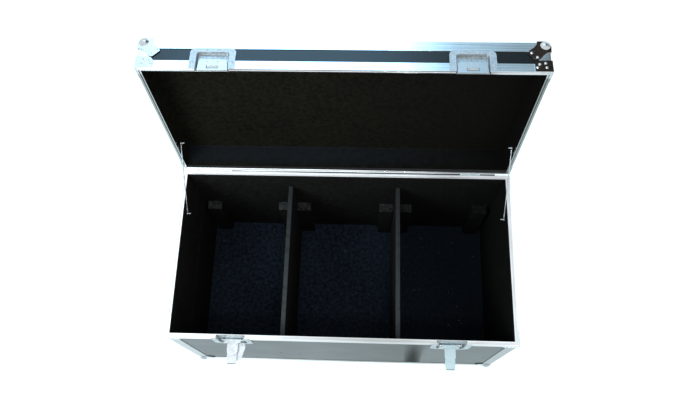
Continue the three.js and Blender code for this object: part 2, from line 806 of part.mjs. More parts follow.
function latchHook() {
  const tip = hookTipWidth / 2;
  const shape = new THREE.Shape();
  shape.moveTo(-hookHalfWidth, armZ(hookStart));
  shape.lineTo(hookHalfWidth, armZ(hookStart));
  shape.lineTo(hookHalfWidth, armZ(hookReach - hookTaper));
  shape.quadraticCurveTo(hookHalfWidth, armZ(hookReach - hookTaper / 2), tip, armZ(hookReach));
  shape.lineTo(-tip, armZ(hookReach));
  shape.quadraticCurveTo(-hookHalfWidth, armZ(hookReach - hookTaper / 2), -hookHalfWidth, armZ(hookReach - hookTaper));
  const slip = handleThrow / 4;
  const slotHalfHeight = eccentricRadius + slip + seatGap;
  const slotHalfWidth = eccentricRadius + handleThrow + seatGap;
  const slotMiddle = armZ(handleReach + handleThrow);
  const slotShape = roundedShape(
    slotHalfWidth,
    slotMiddle - slotHalfHeight,
    slotMiddle + slotHalfHeight,
    slotHalfHeight / 2,
    slotHalfHeight / 2,
  );
  const lip = block(-tip, tip, hookFront, hookBack + hookLip, armZ(hookReach - hookThickness), armZ(hookReach));
  const plate = cut(pressed(shape, hookFront, hookBack), pressed(slotShape, hookFront - overrun, hookBack + overrun, 2));
  return join(plate, lip);
}

function latchHandle() {
  const middle = armZ(handleReach);
  const layer = (radius, near, far, z, sides) =>
    moved(rod(radius, far - near, "y", sides), 0, (near + far) / 2, z);
  const earStart = wingLength / 2 + spineEarGap;
  const spineEnd = earStart + spineEarWall;
  const spine = roundedShape(spineHalfWidth, middle - spineEnd, middle + spineEnd, seatGap, seatGap);
  const earNear = wingMiddle - spineEarRise / 2;
  const ear = (end) =>
    block(-spineHalfWidth, spineHalfWidth, earNear, discFar, middle + end * earStart, middle + end * spineEnd);
  const eccentricFar = discFar + eccentricWall;
  const headNear = backPlateFar + spindleHeadGap;
  const body = join(
    pressed(spine, discNear, discFar, 2),
    layer(handleDiscRadius, discNear, discFar, middle, 24),
    ear(-1),
    ear(1),
    layer(eccentricRadius, discFar - seatGap, eccentricFar, middle + handleThrow, 20),
    layer(spindleRadius, eccentricFar - seatGap, headNear + spindleHeadWall, middle, 12),
    layer(spindleHeadRadius, headNear, headNear + spindleHeadWall, middle, 16),
  );
  const bore = (side) =>
    moved(rod(wingPinRadius + seatGap, 2 * spineEnd + overrun, "z", 10), side * wingHingePlace, wingMiddle, middle);
  return cut(body, bore(-1), bore(1));
}

// One wing of the butterfly, flat, on the right of the handle; its wide end lies towards the arm's pin
function latchWing() {
  const half = wingLength / 2;
  const shape = new THREE.Shape();
  shape.moveTo(0, -half);
  shape.lineTo(wingReach - wingCorner, -half);
  shape.quadraticCurveTo(wingReach, -half, wingReach - seatGap, wingCorner - half);
  shape.lineTo(wingTipReach, half - wingCorner / 2);
  shape.quadraticCurveTo(wingTipReach - wingWall, half, wingTipReach - wingCorner / 2, half);
  shape.lineTo(0, half);
  const hole = new THREE.Path();
  hole.absarc(wingReach - wingCorner + wingHoleRadius, wingCorner / 2 - half, wingHoleRadius, 0, 2 * Math.PI);
  shape.holes.push(hole);
  const sheet = pressed(shape, -wingWall / 2, wingWall / 2, 4);
  const pin = rod(wingPinRadius, wingLength + 2 * (spineEarGap + spineEarWall) - 2 * seatGap, "z", 10);
  return join(sheet, pin);
}

const latchPan = latchDish();
const baseDish = latchBaseDish(latchPan);
const lidDish = latchLidDish(latchPan);
const keeper = latchKeeper();
const arm = latchArm();
const hook = latchHook();
const handle = latchHandle();
const wing = latchWing();

// Angle of each wing as photographed: 0 lies flat on the hook, 90 stands folded
const wingFold = { left: { left: 90, right: 0 }, right: { left: 90, right: 90 } };

for (const [sideName, side] of Object.entries(sides)) {
  const [x, y, z] = latchOrigin(side);
  addPiece(root, `latch_${sideName}_base_dish`, moved(baseDish, x, y, z), steel);
  addPiece(lid, `latch_${sideName}_lid_dish`, moved(lidDish, x, y, z), steel);
  addPiece(lid, `latch_${sideName}_keeper`, moved(keeper, x, y, z), steel);
  const latch = new THREE.Group();
  latch.position.set(x, y, z);
  root.add(latch);
  const swung = turnedAboutX(latch, latchPinDepth, -latchPinDrop, armSwing);
  addPiece(swung, `latch_${sideName}_arm`, arm, steel);
  addPiece(swung, `latch_${sideName}_hook`, hook, steel);
  addPiece(swung, `latch_${sideName}_handle`, handle, steel);
  for (const [wingName, wingSide] of Object.entries(sides)) {
    const leaf = new THREE.Group();
    leaf.position.set(wingSide * wingHingePlace, wingMiddle, armZ(handleReach));
    leaf.rotation.z = THREE.MathUtils.degToRad(-wingSide * wingFold[sideName][wingName]);
    swung.add(leaf);
    const mirrored = mapped(wing, new THREE.Matrix4().makeScale(wingSide, 1, 1));
    addPiece(leaf, `latch_${sideName}_wing_${wingName}`, mirrored, steel);
  }
}

// Dividers stand in the slots between the posts
for (const [sideName, side] of Object.entries(sides)) {
  const x = side * dividerPlaces[sideName];
  const half = dividerThickness / 2;
  const end = liningY - dividerEndGap;
  const board = block(x - half, x + half, -end, end, floorLiningTop + seatGap, dividerTop);
  addPiece(root, `divider_${sideName}`, board, boardCover);
}

// Spring handles: a pressed dish in each end panel and a hanging bail with a moulded sleeve
const bailPivot = bailDrop / 2;
const bailHalf = bailWidth / 2;
const bailEarPlace = bailHalf + bailRodRadius + bailEarGap;

function gripDish() {
  const flange = roundedShape(
    gripFlangeWidth / 2,
    -gripFlangeHeight / 2,
    gripFlangeHeight / 2,
    gripFlangeRadius,
    gripFlangeRadius,
  );
  const recess = (extra) =>
    roundedShape(
      gripRecessWidth / 2 + extra,
      -gripRecessHeight / 2 - extra,
      gripRecessHeight / 2 + extra,
      gripRecessRadius + extra,
      gripRecessRadius + extra,
    );
  const pan = pressedPan(flange, recess, latchFlangeNear, latchFlangeFar, gripRecessDepth, recessDraft);
  const ears = Object.values(sides).map((side) => {
    const near = side * bailEarPlace;
    const far = side * (bailEarPlace + bailEarWall);
    const foot = gripRecessDepth + dishWall / 2;
    const post = block(near, far, bailDepth, foot, bailPivot - bailEarRadius, bailPivot + bailEarRadius);
    const eye = moved(rod(bailEarRadius, bailEarWall, "x", 12), (near + far) / 2, bailDepth, bailPivot);
    const crown = block(near, far, -overrun, -bailPinSlack, -overrun, overrun + gripRecessHeight);
    return cut(join(post, eye), crown);
  });
  const bore = moved(rod(bailRodRadius + bailPinSlack, gripRecessWidth - 2 * recessDraft, "x", 12), 0, bailDepth, bailPivot);
  return join(pan, ...ears.map((ear) => cut(ear, bore)));
}

function bail() {
  const y = bailDepth;
  const low = bailPivot - bailDrop;
  const stub = bailEarPlace + bailEarWall;
  const corner = (x, z, fromX, fromZ, toX, toZ) =>
    new THREE.QuadraticBezierCurve3(
      new THREE.Vector3(fromX, y, fromZ),
      new THREE.Vector3(x, y, z),
      new THREE.Vector3(toX, y, toZ),
    );
  const line = (x0, z0, x1, z1) => new THREE.LineCurve3(new THREE.Vector3(x0, y, z0), new THREE.Vector3(x1, y, z1));
  const path = new THREE.CurvePath();
  path.add(line(-bailHalf, bailPivot, -bailHalf, low + bailBend));
  path.add(corner(-bailHalf, low, -bailHalf, low + bailBend, bailBend - bailHalf, low));
  path.add(line(bailBend - bailHalf, low, bailHalf - bailBend, low));
  path.add(corner(bailHalf, low, bailHalf - bailBend, low, bailHalf, low + bailBend));
  path.add(line(bailHalf, low + bailBend, bailHalf, bailPivot));
  const round = new THREE.Shape();
  round.absarc(0, 0, bailRodRadius, 0, 2 * Math.PI);
  const loop = new THREE.ExtrudeGeometry(round, { steps: 20, extrudePath: path, curveSegments: 3 });
  const sleeve = moved(rod(bailSleeveRadius, bailSleeveLength, "x", 12), 0, y, low);
  const knuckle = (side) => {
    const length = stub - bailHalf + bailRodRadius;
    return moved(rod(bailRodRadius, length, "x", 12), side * (stub - length / 2), y, bailPivot);
  };
  return join(loop, sleeve, knuckle(-1), knuckle(1));
}

const gripPan = gripDish();
const bailLoop = bail();
for (const [sideName, side] of Object.entries(sides)) {
  const grip = new THREE.Group();
  grip.position.set(side * (halfLength - skin), 0, gripHeight);
  grip.rotation.z = (side * Math.PI) / 2;
  root.add(grip);
  addPiece(grip, `handle_${sideName}_dish`, gripPan, steel);
  addPiece(grip, `handle_${sideName}_bail`, bailLoop, steel);
}

// Lid stays, taut at rest between an eyelet on the base's end wall and one on the lid's
function stay(side) {
  const open = THREE.MathUtils.degToRad(lidOpenAngle);
  const reach = stayLidSetback + hingePinOffset;
  const rise = stayLidRise - jointGap / 2;
  const base = new THREE.Vector3(0, halfDepth - stayBaseSetback, jointZ - stayBaseDrop);
  const top = new THREE.Vector3(
    0,
    hingeY - reach * Math.cos(open) + rise * Math.sin(open),
    hingeZ + reach * Math.sin(open) + rise * Math.cos(open),
  );
  const span = top.clone().sub(base);
  const turn = new THREE.Quaternion().setFromUnitVectors(new THREE.Vector3(0, 0, 1), span.clone().normalize());
  const length = span.length();
  const eye = (z) => moved(rod(stayEyeRadius, stayEyeWall, "x", 12), 0, 0, z);
  const ferrule = (z) => moved(rod(stayFerruleRadius, stayFerruleLength, "z", 8), 0, 0, z);
  const ferrulePlace = stayEyeRadius + stayFerruleLength / 2 - stayEyeWall;
  const whole = join(
    moved(rod(stayRopeRadius, length - 2 * stayEyeRadius, "z", 8), 0, 0, length / 2),
    ferrule(ferrulePlace),
    ferrule(length - ferrulePlace),
    eye(0),
    eye(length),
  );
  const bore = (z) => moved(rod(stayEyeBore, overrun, "x", 10), 0, 0, z);
  const placed = cut(whole, bore(0), bore(length)).applyQuaternion(turn);
  return placed.translate(side * (liningX - seatGap - stayFerruleRadius), base.y, base.z);
}

for (const [sideName, side] of Object.entries(sides)) {
  addPiece(root, `lid_stay_${sideName}`, stay(side), wire);
}

export default root;
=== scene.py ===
import json
import math

import bmesh
import bpy
import numpy as np
from mathutils import Matrix, Vector


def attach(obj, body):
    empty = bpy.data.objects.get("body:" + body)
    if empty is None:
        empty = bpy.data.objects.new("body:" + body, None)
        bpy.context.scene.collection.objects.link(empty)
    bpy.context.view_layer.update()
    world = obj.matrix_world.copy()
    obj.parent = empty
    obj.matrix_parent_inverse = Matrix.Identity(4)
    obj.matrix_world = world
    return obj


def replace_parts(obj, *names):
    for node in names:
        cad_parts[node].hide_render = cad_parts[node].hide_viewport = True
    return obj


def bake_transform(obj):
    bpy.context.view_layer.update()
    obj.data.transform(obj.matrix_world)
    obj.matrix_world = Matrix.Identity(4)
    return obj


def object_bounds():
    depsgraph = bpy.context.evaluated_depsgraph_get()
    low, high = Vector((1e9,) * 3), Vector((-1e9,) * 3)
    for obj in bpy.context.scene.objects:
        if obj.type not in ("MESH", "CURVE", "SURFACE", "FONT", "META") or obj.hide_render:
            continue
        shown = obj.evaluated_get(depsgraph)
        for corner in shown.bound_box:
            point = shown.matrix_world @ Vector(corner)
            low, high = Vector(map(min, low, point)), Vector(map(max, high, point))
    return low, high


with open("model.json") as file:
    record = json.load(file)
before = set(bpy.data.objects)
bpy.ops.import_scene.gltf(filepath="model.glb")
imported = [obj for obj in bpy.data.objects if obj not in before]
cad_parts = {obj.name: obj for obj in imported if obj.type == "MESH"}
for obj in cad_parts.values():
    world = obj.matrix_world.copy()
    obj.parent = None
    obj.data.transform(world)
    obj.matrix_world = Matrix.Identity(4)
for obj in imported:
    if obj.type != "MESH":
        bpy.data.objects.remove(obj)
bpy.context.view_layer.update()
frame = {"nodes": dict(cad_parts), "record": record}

nodes = frame["nodes"]
bodyOf = {node: body for body, members in frame["record"]["behaviour"]["bodies"].items() for node in members}
slotOf = {row["node"]: row["material_slot"] for row in frame["record"]["subparts"]}

# Sizes that several pieces share, in metres
case = {
    "halfLength": 0.564,
    "halfDepth": 0.289,
    "bottom": -0.0019,
    "joint": 0.5381,
    "jointGap": 0.0006,
    "lidHeight": 0.1,
    "hingeY": 0.2926,
    "hingeZ": 0.5384,
    "openDegrees": 95.5,
    "latchX": 0.354,
    "braceProud": 0.0016,
    "rim": 0.0145,
    "lip": 0.0125,
}
hingeLine = np.array([0.0, case["hingeY"], case["hingeZ"]])
sideSigns = {"left": -1, "right": 1}
endSigns = {"front": -1, "rear": 1}


class Value:
    # one output socket; arithmetic on it adds Math nodes to the same tree
    def __init__(self, shader, socket):
        self.shader = shader
        self.socket = socket

    def maths(self, operation, first, second=0.0, clamp=False):
        settings = {"operation": operation, "use_clamp": clamp}
        return self.shader.node("ShaderNodeMath", settings, {0: first, 1: second})

    def __add__(self, other):
        return self.maths("ADD", self, other)

    def __radd__(self, other):
        return self.maths("ADD", other, self)

    def __sub__(self, other):
        return self.maths("SUBTRACT", self, other)

    def __rsub__(self, other):
        return self.maths("SUBTRACT", other, self)

    def __mul__(self, other):
        return self.maths("MULTIPLY", self, other)

    def __rmul__(self, other):
        return self.maths("MULTIPLY", other, self)

    def __gt__(self, other):
        return self.maths("GREATER_THAN", self, other)

    def __lt__(self, other):
        return self.maths("LESS_THAN", self, other)

    def size(self):
        return self.maths("ABSOLUTE", self)

    def limited(self):
        return self.maths("ADD", self, 0.0, clamp=True)

    def ramp(self, low, high):
        # 0 below low, 1 above high, straight between
        inputs = {"Value": self, "From Min": low, "From Max": high}
        return self.shader.node("ShaderNodeMapRange", {"interpolation_type": "LINEAR"}, inputs)


class Shader:
    def __init__(self, name, store=bpy.data.materials, surface="Principled BSDF"):
        self.material = store.new(name)
        self.material.use_nodes = True
        self.tree = self.material.node_tree
        self.surface = self.tree.nodes[surface]

    def node(self, kind, settings=None, inputs=None, output=0):
        made = self.tree.nodes.new(kind)
        for key, setting in (settings or {}).items():
            if key == "stops":
                fillRamp(made.color_ramp, setting)
            else:
                setattr(made, key, setting)
        for key, given in (inputs or {}).items():
            self.feed(made.inputs[key], given)
        if output is None:
            return [Value(self, socket) for socket in made.outputs]
        return Value(self, made.outputs[output])

    def feed(self, socket, given):
        if isinstance(given, Value):
            self.tree.links.new(given.socket, socket)
        else:
            socket.default_value = given

    def set(self, **inputs):
        # baseColor feeds the socket Base Color, and so on
        for key, given in inputs.items():
            name = "".join(" " + letter if letter.isupper() else letter for letter in key).title()
            self.feed(self.surface.inputs[name.replace("Ior", "IOR")], given)

    def place(self):
        return self.node("ShaderNodeTexCoord", output="Object")

    def stretched(self, scale):
        return self.node("ShaderNodeMapping", inputs={"Vector": self.place(), "Scale": scale})

    def noise(self, scale, detail=2.0, vector=None, roughness=0.5):
        inputs = {"Vector": vector or self.place(), "Scale": scale, "Detail": detail, "Roughness": roughness}
        return self.node("ShaderNodeTexNoise", inputs=inputs, output="Fac")

    def cells(self, scale):
        inputs = {"Vector": self.place(), "Scale": scale}
        return self.node("ShaderNodeTexVoronoi", inputs=inputs, output="Distance")

    def axes(self, vector=None):
        return self.node("ShaderNodeSeparateXYZ", inputs={0: vector or self.place()}, output=None)

    def ramped(self, mask, stops):
        return self.node("ShaderNodeValToRGB", {"stops": stops}, {"Fac": mask}, output="Color")

    def mix(self, mask, first, second):
        # the colour sockets of a Mix node are its seventh and eighth inputs and its third output
        inputs = {0: mask, 6: colour(first), 7: colour(second)}
        return self.node("ShaderNodeMix", {"data_type": "RGBA"}, inputs, output=2)

    def bump(self, height, strength, distance):
        inputs = {"Height": height, "Strength": strength, "Distance": distance}
        return self.node("ShaderNodeBump", inputs=inputs)


def colour(given):
    return given if isinstance(given, Value) else (*given, 1.0)


def scaled(shade, factor):
    return tuple(factor * part for part in shade)


def fillRamp(ramp, stops):
    while len(ramp.elements) < len(stops):
        ramp.elements.new(0.5)
    for element, (place, shade) in zip(ramp.elements, stops):
        element.position = place
        element.color = (*shade, 1.0)


aluminiumLook = {
    "light": (0.64, 0.65, 0.66),
    "dark": (0.4, 0.41, 0.42),
    "handled": (0.21, 0.21, 0.2),
    "bright": (0.93, 0.95, 0.96),
    "fineLines": 380.0,
    "lengthwise": 4.0,
    "detail": 3.0,
    "cloudScale": 9.0,
    "shares": {"lines": 0.65, "clouds": 0.35},
    "contrast": (0.34, 0.66),
    "streak": 0.12,
    "relief": (0.06, 0.0004),
    "endStart": 0.53,
    "frontDark": {"y": (-0.28, 0.25), "x": (-0.4, 0.12), "most": 1.5, "right": (0.2, 0.5)},
    "lidEnds": {"below": 1.09, "least": 0.5, "more": 0.3, "z": (0.6, 1.0)},
    "foot": {"below": 0.034, "wear": 0.3},
    "rear": {"y": (0.1, 0.27), "worn": (0.1, 0.4), "dim": (0.0, 0.3)},
    "lap": {"start": 0.5545, "reach": 0.0055, "x": (-0.1, 0.5), "cover": (0.004, 0.0045, 0.005)},
}


def aluminiumFinish(name, endWay, metallic, roughness, tone=1.0, frontDarkening=0.0, endShade=0.0, rearShine=0.0,
                    rearShade=0.5, specular=0.5, lap=False):
    # extruded stock: fine lines along each bar, so they change direction where the end bars start
    look, shares = aluminiumLook, aluminiumLook["shares"]
    shader = Shader(name)
    fine, long = look["fineLines"], look["lengthwise"]
    endScale = tuple(long if way == endWay else fine for way in "xyz")
    along = shader.noise(1.0, look["detail"], shader.stretched((long, fine, fine)))
    across = shader.noise(1.0, look["detail"], shader.stretched(endScale))
    x, y, z = shader.axes()
    ends = x.size() > look["endStart"]
    lines = along + (across - along) * ends
    clouds = shader.noise(look["cloudScale"], look["detail"])
    mask = (lines * shares["lines"] + clouds * shares["clouds"]).ramp(*look["contrast"])
    dark, light, handled = (scaled(look[key], tone) for key in ("dark", "light", "handled"))
    # the bars darken most in front of the opening and towards its right end
    frontDark = look["frontDark"]
    worn = (1 - y.ramp(*frontDark["y"])) * x.ramp(*frontDark["x"])
    worn = worn * (frontDark["most"] - x.ramp(*frontDark["right"])) * frontDarkening
    # painted shade: the lid's end rims are darker, most towards the top and at the right
    rims = look["lidEnds"]
    dull = rims["least"] + rims["more"] * z.ramp(*rims["z"]) + rims["more"] * (x > 0.0)
    worn = worn + ends * (z < rims["below"]) * dull * endShade
    # painted shade along the foot of the case
    worn = worn + (z < look["foot"]["below"]) * look["foot"]["wear"]
    # painted highlight on the rear bars, fading to the right, where painted shade darkens them instead
    rear = look["rear"]
    behind = y.ramp(*rear["y"]) * rearShine
    worn = worn + behind * x.ramp(*rear["worn"]) * rearShade
    shine = behind * (1 - x.ramp(*rear["dim"]))
    stock = shader.mix(shine, shader.mix(mask, dark, light), look["bright"])
    surface = shader.mix(worn.limited(), stock, handled)
    if lap:
        # a dark band is painted along the inner edge of the lid's rear seat, wider to the right
        edge = look["lap"]
        banded = z > edge["start"] - x.ramp(*edge["x"]) * edge["reach"]
        surface = shader.mix(banded, surface, edge["cover"])
    shader.set(baseColor=surface, metallic=metallic, specularIorLevel=specular)
    shader.set(roughness=roughness + lines * look["streak"], normal=shader.bump(lines, *look["relief"]))
    return shader.material


zincLook = {
    "shadeColour": (0.02, 0.021, 0.02),
    "clouds": {"scale": 60.0, "detail": 4.0},
    "spangleScale": 190.0,
    "share": 0.6,
    "contrast": (0.1, 1.0),
    "rub": {"scale": 120.0, "detail": 5.0, "roughness": 0.7},
    "rubbed": (0.55, 0.75),
    "matt": {"clouds": 0.12, "rub": 0.15},
    "spangleRise": 0.15,
    "relief": (0.12, 0.0006),
    "fade": {"x": (0.0, 0.4), "baseTop": 0.6, "cool": (0.285, 0.4, 0.435)},
    "tip": -0.3603,
    "slit": {"y": 0.2914, "x": (-0.45, -0.1)},
    "streakShade": {
        "scale": (150.0, 150.0, 55.0),
        "detail": 4.0,
        "roughness": 0.7,
        "cut": (0.5, 0.58),
        "film": 0.08,
    },
}


def zincFinish(name, light, dark, roughness, fade=0.0, tip=False, slit=False):
    # bright plated steel: broad cloudy patches, faint spangle, a few rubbed places and painted shade in the
    # recesses
    look, matt = zincLook, zincLook["matt"]
    shader = Shader(name)
    clouds = shader.noise(**look["clouds"])
    spangle = shader.cells(look["spangleScale"])
    rub = shader.noise(**look["rub"])
    mask = (clouds * look["share"] + spangle * look["share"]).ramp(*look["contrast"])
    plate = shader.mix(mask, dark, light)
    recess = shader.node("ShaderNodeAttribute", {"attribute_name": "recess"}, output="Fac")
    x, y, z = shader.axes()
    if fade:
        # the fittings reflect a cooler light to the right, most on the base
        sheen = look["fade"]
        cooler = shader.mix(z < sheen["baseTop"], dark, sheen["cool"])
        plate = shader.mix(x.ramp(*sheen["x"]) * fade, plate, cooler)
    if tip:
        # painted shadow: the far ends of the open arms are dark, for the shadow under the hook's lip
        plate = shader.mix(y < look["tip"], plate, look["shadeColour"])
    if slit:
        # painted shade: the strip behind the joint is dark on its inner side, except towards its left end
        shade = look["slit"]
        plate = shader.mix((y < shade["y"]) * x.ramp(*shade["x"]), plate, look["shadeColour"])
    # painted shade in the recesses, with upright streaks of it for the shadows of the springs and ribs
    streakShade = look["streakShade"]
    streaks = shader.noise(1.0, streakShade["detail"], shader.stretched(streakShade["scale"]), streakShade["roughness"])
    recessShade = (recess * (streakShade["film"] + streaks.ramp(*streakShade["cut"]))).limited()
    shader.set(baseColor=shader.mix(recessShade, plate, look["shadeColour"]), metallic=1.0)
    shader.set(roughness=roughness + clouds * matt["clouds"] + rub.ramp(*look["rubbed"]) * matt["rub"])
    shader.set(normal=shader.bump(clouds + spangle * look["spangleRise"], *look["relief"]))
    return shader.material


laminateLook = {
    "colour": (0.003, 0.004, 0.0045),
    "paler": 1.25,
    "worn": (0.03, 0.033, 0.036),
    "specular": 0.25,
    "pebbleScale": 900.0,
    "clouds": {"scale": 7.0, "detail": 3.0},
    "contrast": (0.3, 0.7),
    "scuff": {
        "scale": 14.0,
        "detail": 8.0,
        "stretch": (1.0, 3.0, 3.0),
        "roughness": 0.75,
        "cut": (0.66, 0.74),
        "strength": 0.5,
    },
    "matt": {"clouds": 0.08, "scuff": 0.25},
    "relief": (0.05, 0.0003),
    "frontY": -0.28,
    "smudge": {"x": 0.265, "lean": 0.055, "edge": 0.033, "strength": 0.85, "fade": 1.75},
    "haze": {"x": (-0.1, 0.22), "end": (0.27, 0.29), "strength": 0.06},
}


def laminateFinish(name, roughness):
    # phenolic laminate: an even pebble, soft clouds in the gloss and a few pale scuffs
    look, matt = laminateLook, laminateLook["matt"]
    shader = Shader(name)
    pebble = shader.noise(look["pebbleScale"])
    clouds = shader.noise(**look["clouds"])
    scuff = look["scuff"]
    scratches = shader.stretched(scuff["stretch"])
    worn = shader.noise(scuff["scale"], scuff["detail"], scratches, scuff["roughness"])
    worn = worn.ramp(*scuff["cut"]) * scuff["strength"]
    base = shader.mix(clouds.ramp(*look["contrast"]), look["colour"], scaled(look["colour"], look["paler"]))
    shader.set(baseColor=shader.mix(worn, base, look["worn"]), specularIorLevel=look["specular"])
    # a rubbed, matt smudge stands upright on the front's right third, with a faint haze to its left
    smudge, haze = look["smudge"], look["haze"]
    x, y, z = shader.axes()
    offset = (x + z * smudge["lean"] - smudge["x"]).size()
    dull = (1 - offset.ramp(0.0, smudge["edge"])) * (1 - z * smudge["fade"]) * smudge["strength"]
    dull = dull + x.ramp(*haze["x"]) * (1 - x.ramp(*haze["end"])) * haze["strength"]
    gloss = roughness + clouds * matt["clouds"] + worn * matt["scuff"]
    shader.set(roughness=gloss + dull * (y < look["frontY"]), normal=shader.bump(pebble, *look["relief"]))
    return shader.material


feltLook = {
    "fibre": {"scale": 520.0, "detail": 3.0, "roughness": 0.75},
    "tuftScale": 150.0,
    "patch": {"scale": 5.0, "detail": 4.0},
    "napScale": 75.0,
    "nap": (0.35, 0.65),
    "shares": {"fibre": 0.3, "tuft": 0.2, "patch": 0.4, "nap": 0.45},
    "contrast": (0.35, 1.0),
    "fade": {"x": (-0.1, 0.5), "strength": 0.9},
    "roughness": 0.95,
    "specular": 0.06,
    "tuftRise": 0.6,
    "relief": (0.5, 0.0012),
    "wall": {"z": (0.552, 0.556), "least": 0.35, "more": 1.2, "shade": (0.0052, 0.007, 0.0088)},
    "postTop": {
        "reach": 0.2735,
        "z": (0.2705, 0.276),
        "rub": {"scale": 75.0, "detail": 5.0, "roughness": 0.8},
        "rubbed": (0.42, 0.6),
        "least": 0.15,
        "more": 0.95,
        "shade": (0.028, 0.03, 0.031),
    },
    "lint": {
        "scale": 70.0,
        "size": 0.14,
        "groups": {"scale": 31.0, "detail": 3.0},
        "bare": 0.6,
        "shade": (0.055, 0.06, 0.062),
    },
}


def feltFinish(name, low, high, lint=0.0, posts=False, rearWall=False):
    # needled felt: short tangled fibres over soft darker and lighter patches
    look, shares = feltLook, feltLook["shares"]
    shader = Shader(name)
    fibres = shader.noise(**look["fibre"])
    tufts = shader.cells(look["tuftScale"])
    patches = shader.noise(**look["patch"])
    nap = shader.noise(look["napScale"])
    x, y, z = shader.axes()
    # painted shade: the cover is darker towards the right
    fade = 1.0 - x.ramp(*look["fade"]["x"]) * look["fade"]["strength"]
    mask = fibres * shares["fibre"] + tufts * shares["tuft"] + patches * shares["patch"]
    mask = (mask + nap.ramp(*look["nap"]) * shares["nap"]).ramp(*look["contrast"]) * fade
    cover = shader.mix(mask, low, high)
    if rearWall:
        # the lid's rear wall, just above the joint, catches a little light
        wall = look["wall"]
        shown = (1 - z.ramp(*wall["z"])) * (wall["least"] + nap * wall["more"]) * fade
        cover = shader.mix(shown, cover, wall["shade"])
    if posts:
        # the posts' covers are rubbed pale on top and along the edge below it
        top = look["postTop"]
        bottom, above = top["z"]
        onPost = (y.size() < top["reach"]) * (z > bottom) * (z < above)
        patchy = shader.noise(**top["rub"]).ramp(*top["rubbed"])
        cover = shader.mix(onPost * (top["least"] + patchy * top["more"]) * fade, cover, top["shade"])
    if lint:
        specks = look["lint"]
        small = shader.cells(specks["scale"]) < specks["size"]
        shown = small * (shader.noise(**specks["groups"]) > specks["bare"])
        cover = shader.mix(shown * lint, cover, specks["shade"])
    shader.set(baseColor=cover, roughness=look["roughness"], specularIorLevel=look["specular"])
    shader.set(normal=shader.bump(fibres + tufts * look["tuftRise"], *look["relief"]))
    return shader.material


boardLook = {
    "low": (0.002, 0.0021, 0.002),
    "high": (0.007, 0.0074, 0.0072),
    "worn": (0.027, 0.031, 0.033),
    "shares": {"fibre": 0.6, "patch": 0.5},
    "contrast": (0.3, 0.8),
    "rub": {"scale": 38.0, "detail": 5.0, "roughness": 0.7},
    "top": {
        "z": (0.4422, 0.4462),
        "rubbed": (0.1, 0.5),
        "y": (-0.2, 0.26),
        "rear": 0.6,
        "x": (-0.2, 0.2),
        "right": 0.2,
    },
    "front": {"y": -0.262, "rubbed": (0.52, 0.62), "strength": 0.03},
}


def boardFinish(name):
    # the dividers' cover, rubbed pale along its top edge and down its front end
    look, shares = boardLook, boardLook["shares"]
    shader = Shader(name)
    fibres = shader.noise(**feltLook["fibre"])
    patches = shader.noise(**feltLook["patch"])
    x, y, z = shader.axes()
    rub = shader.noise(**look["rub"])
    top, front = look["top"], look["front"]
    topWear = rub.ramp(*top["rubbed"]) * (1 - y.ramp(*top["y"]) * top["rear"])
    topWear = topWear * (1 - x.ramp(*top["x"]) * top["right"])
    frontWear = (y < front["y"]) * rub.ramp(*front["rubbed"]) * front["strength"]
    worn = (z.ramp(*top["z"]) * topWear + frontWear).limited()
    mask = (fibres * shares["fibre"] + patches * shares["patch"]).ramp(*look["contrast"])
    cover = shader.mix(worn, shader.mix(mask, look["low"], look["high"]), look["worn"])
    shader.set(baseColor=cover, roughness=feltLook["roughness"], specularIorLevel=feltLook["specular"])
    shader.set(normal=shader.bump(fibres, *feltLook["relief"]))
    return shader.material


rubberLook = {
    "low": (0.012, 0.012, 0.013),
    "high": (0.03, 0.03, 0.032),
    "grainScale": 700.0,
    "contrast": (0.3, 0.7),
    "roughness": 0.5,
    "matt": 0.2,
    "relief": (0.2, 0.0003),
}


def rubberFinish(name):
    look = rubberLook
    shader = Shader(name)
    grain = shader.noise(look["grainScale"])
    shader.set(baseColor=shader.mix(grain.ramp(*look["contrast"]), look["low"], look["high"]))
    shader.set(roughness=look["roughness"] + grain * look["matt"], normal=shader.bump(grain, *look["relief"]))
    return shader.material


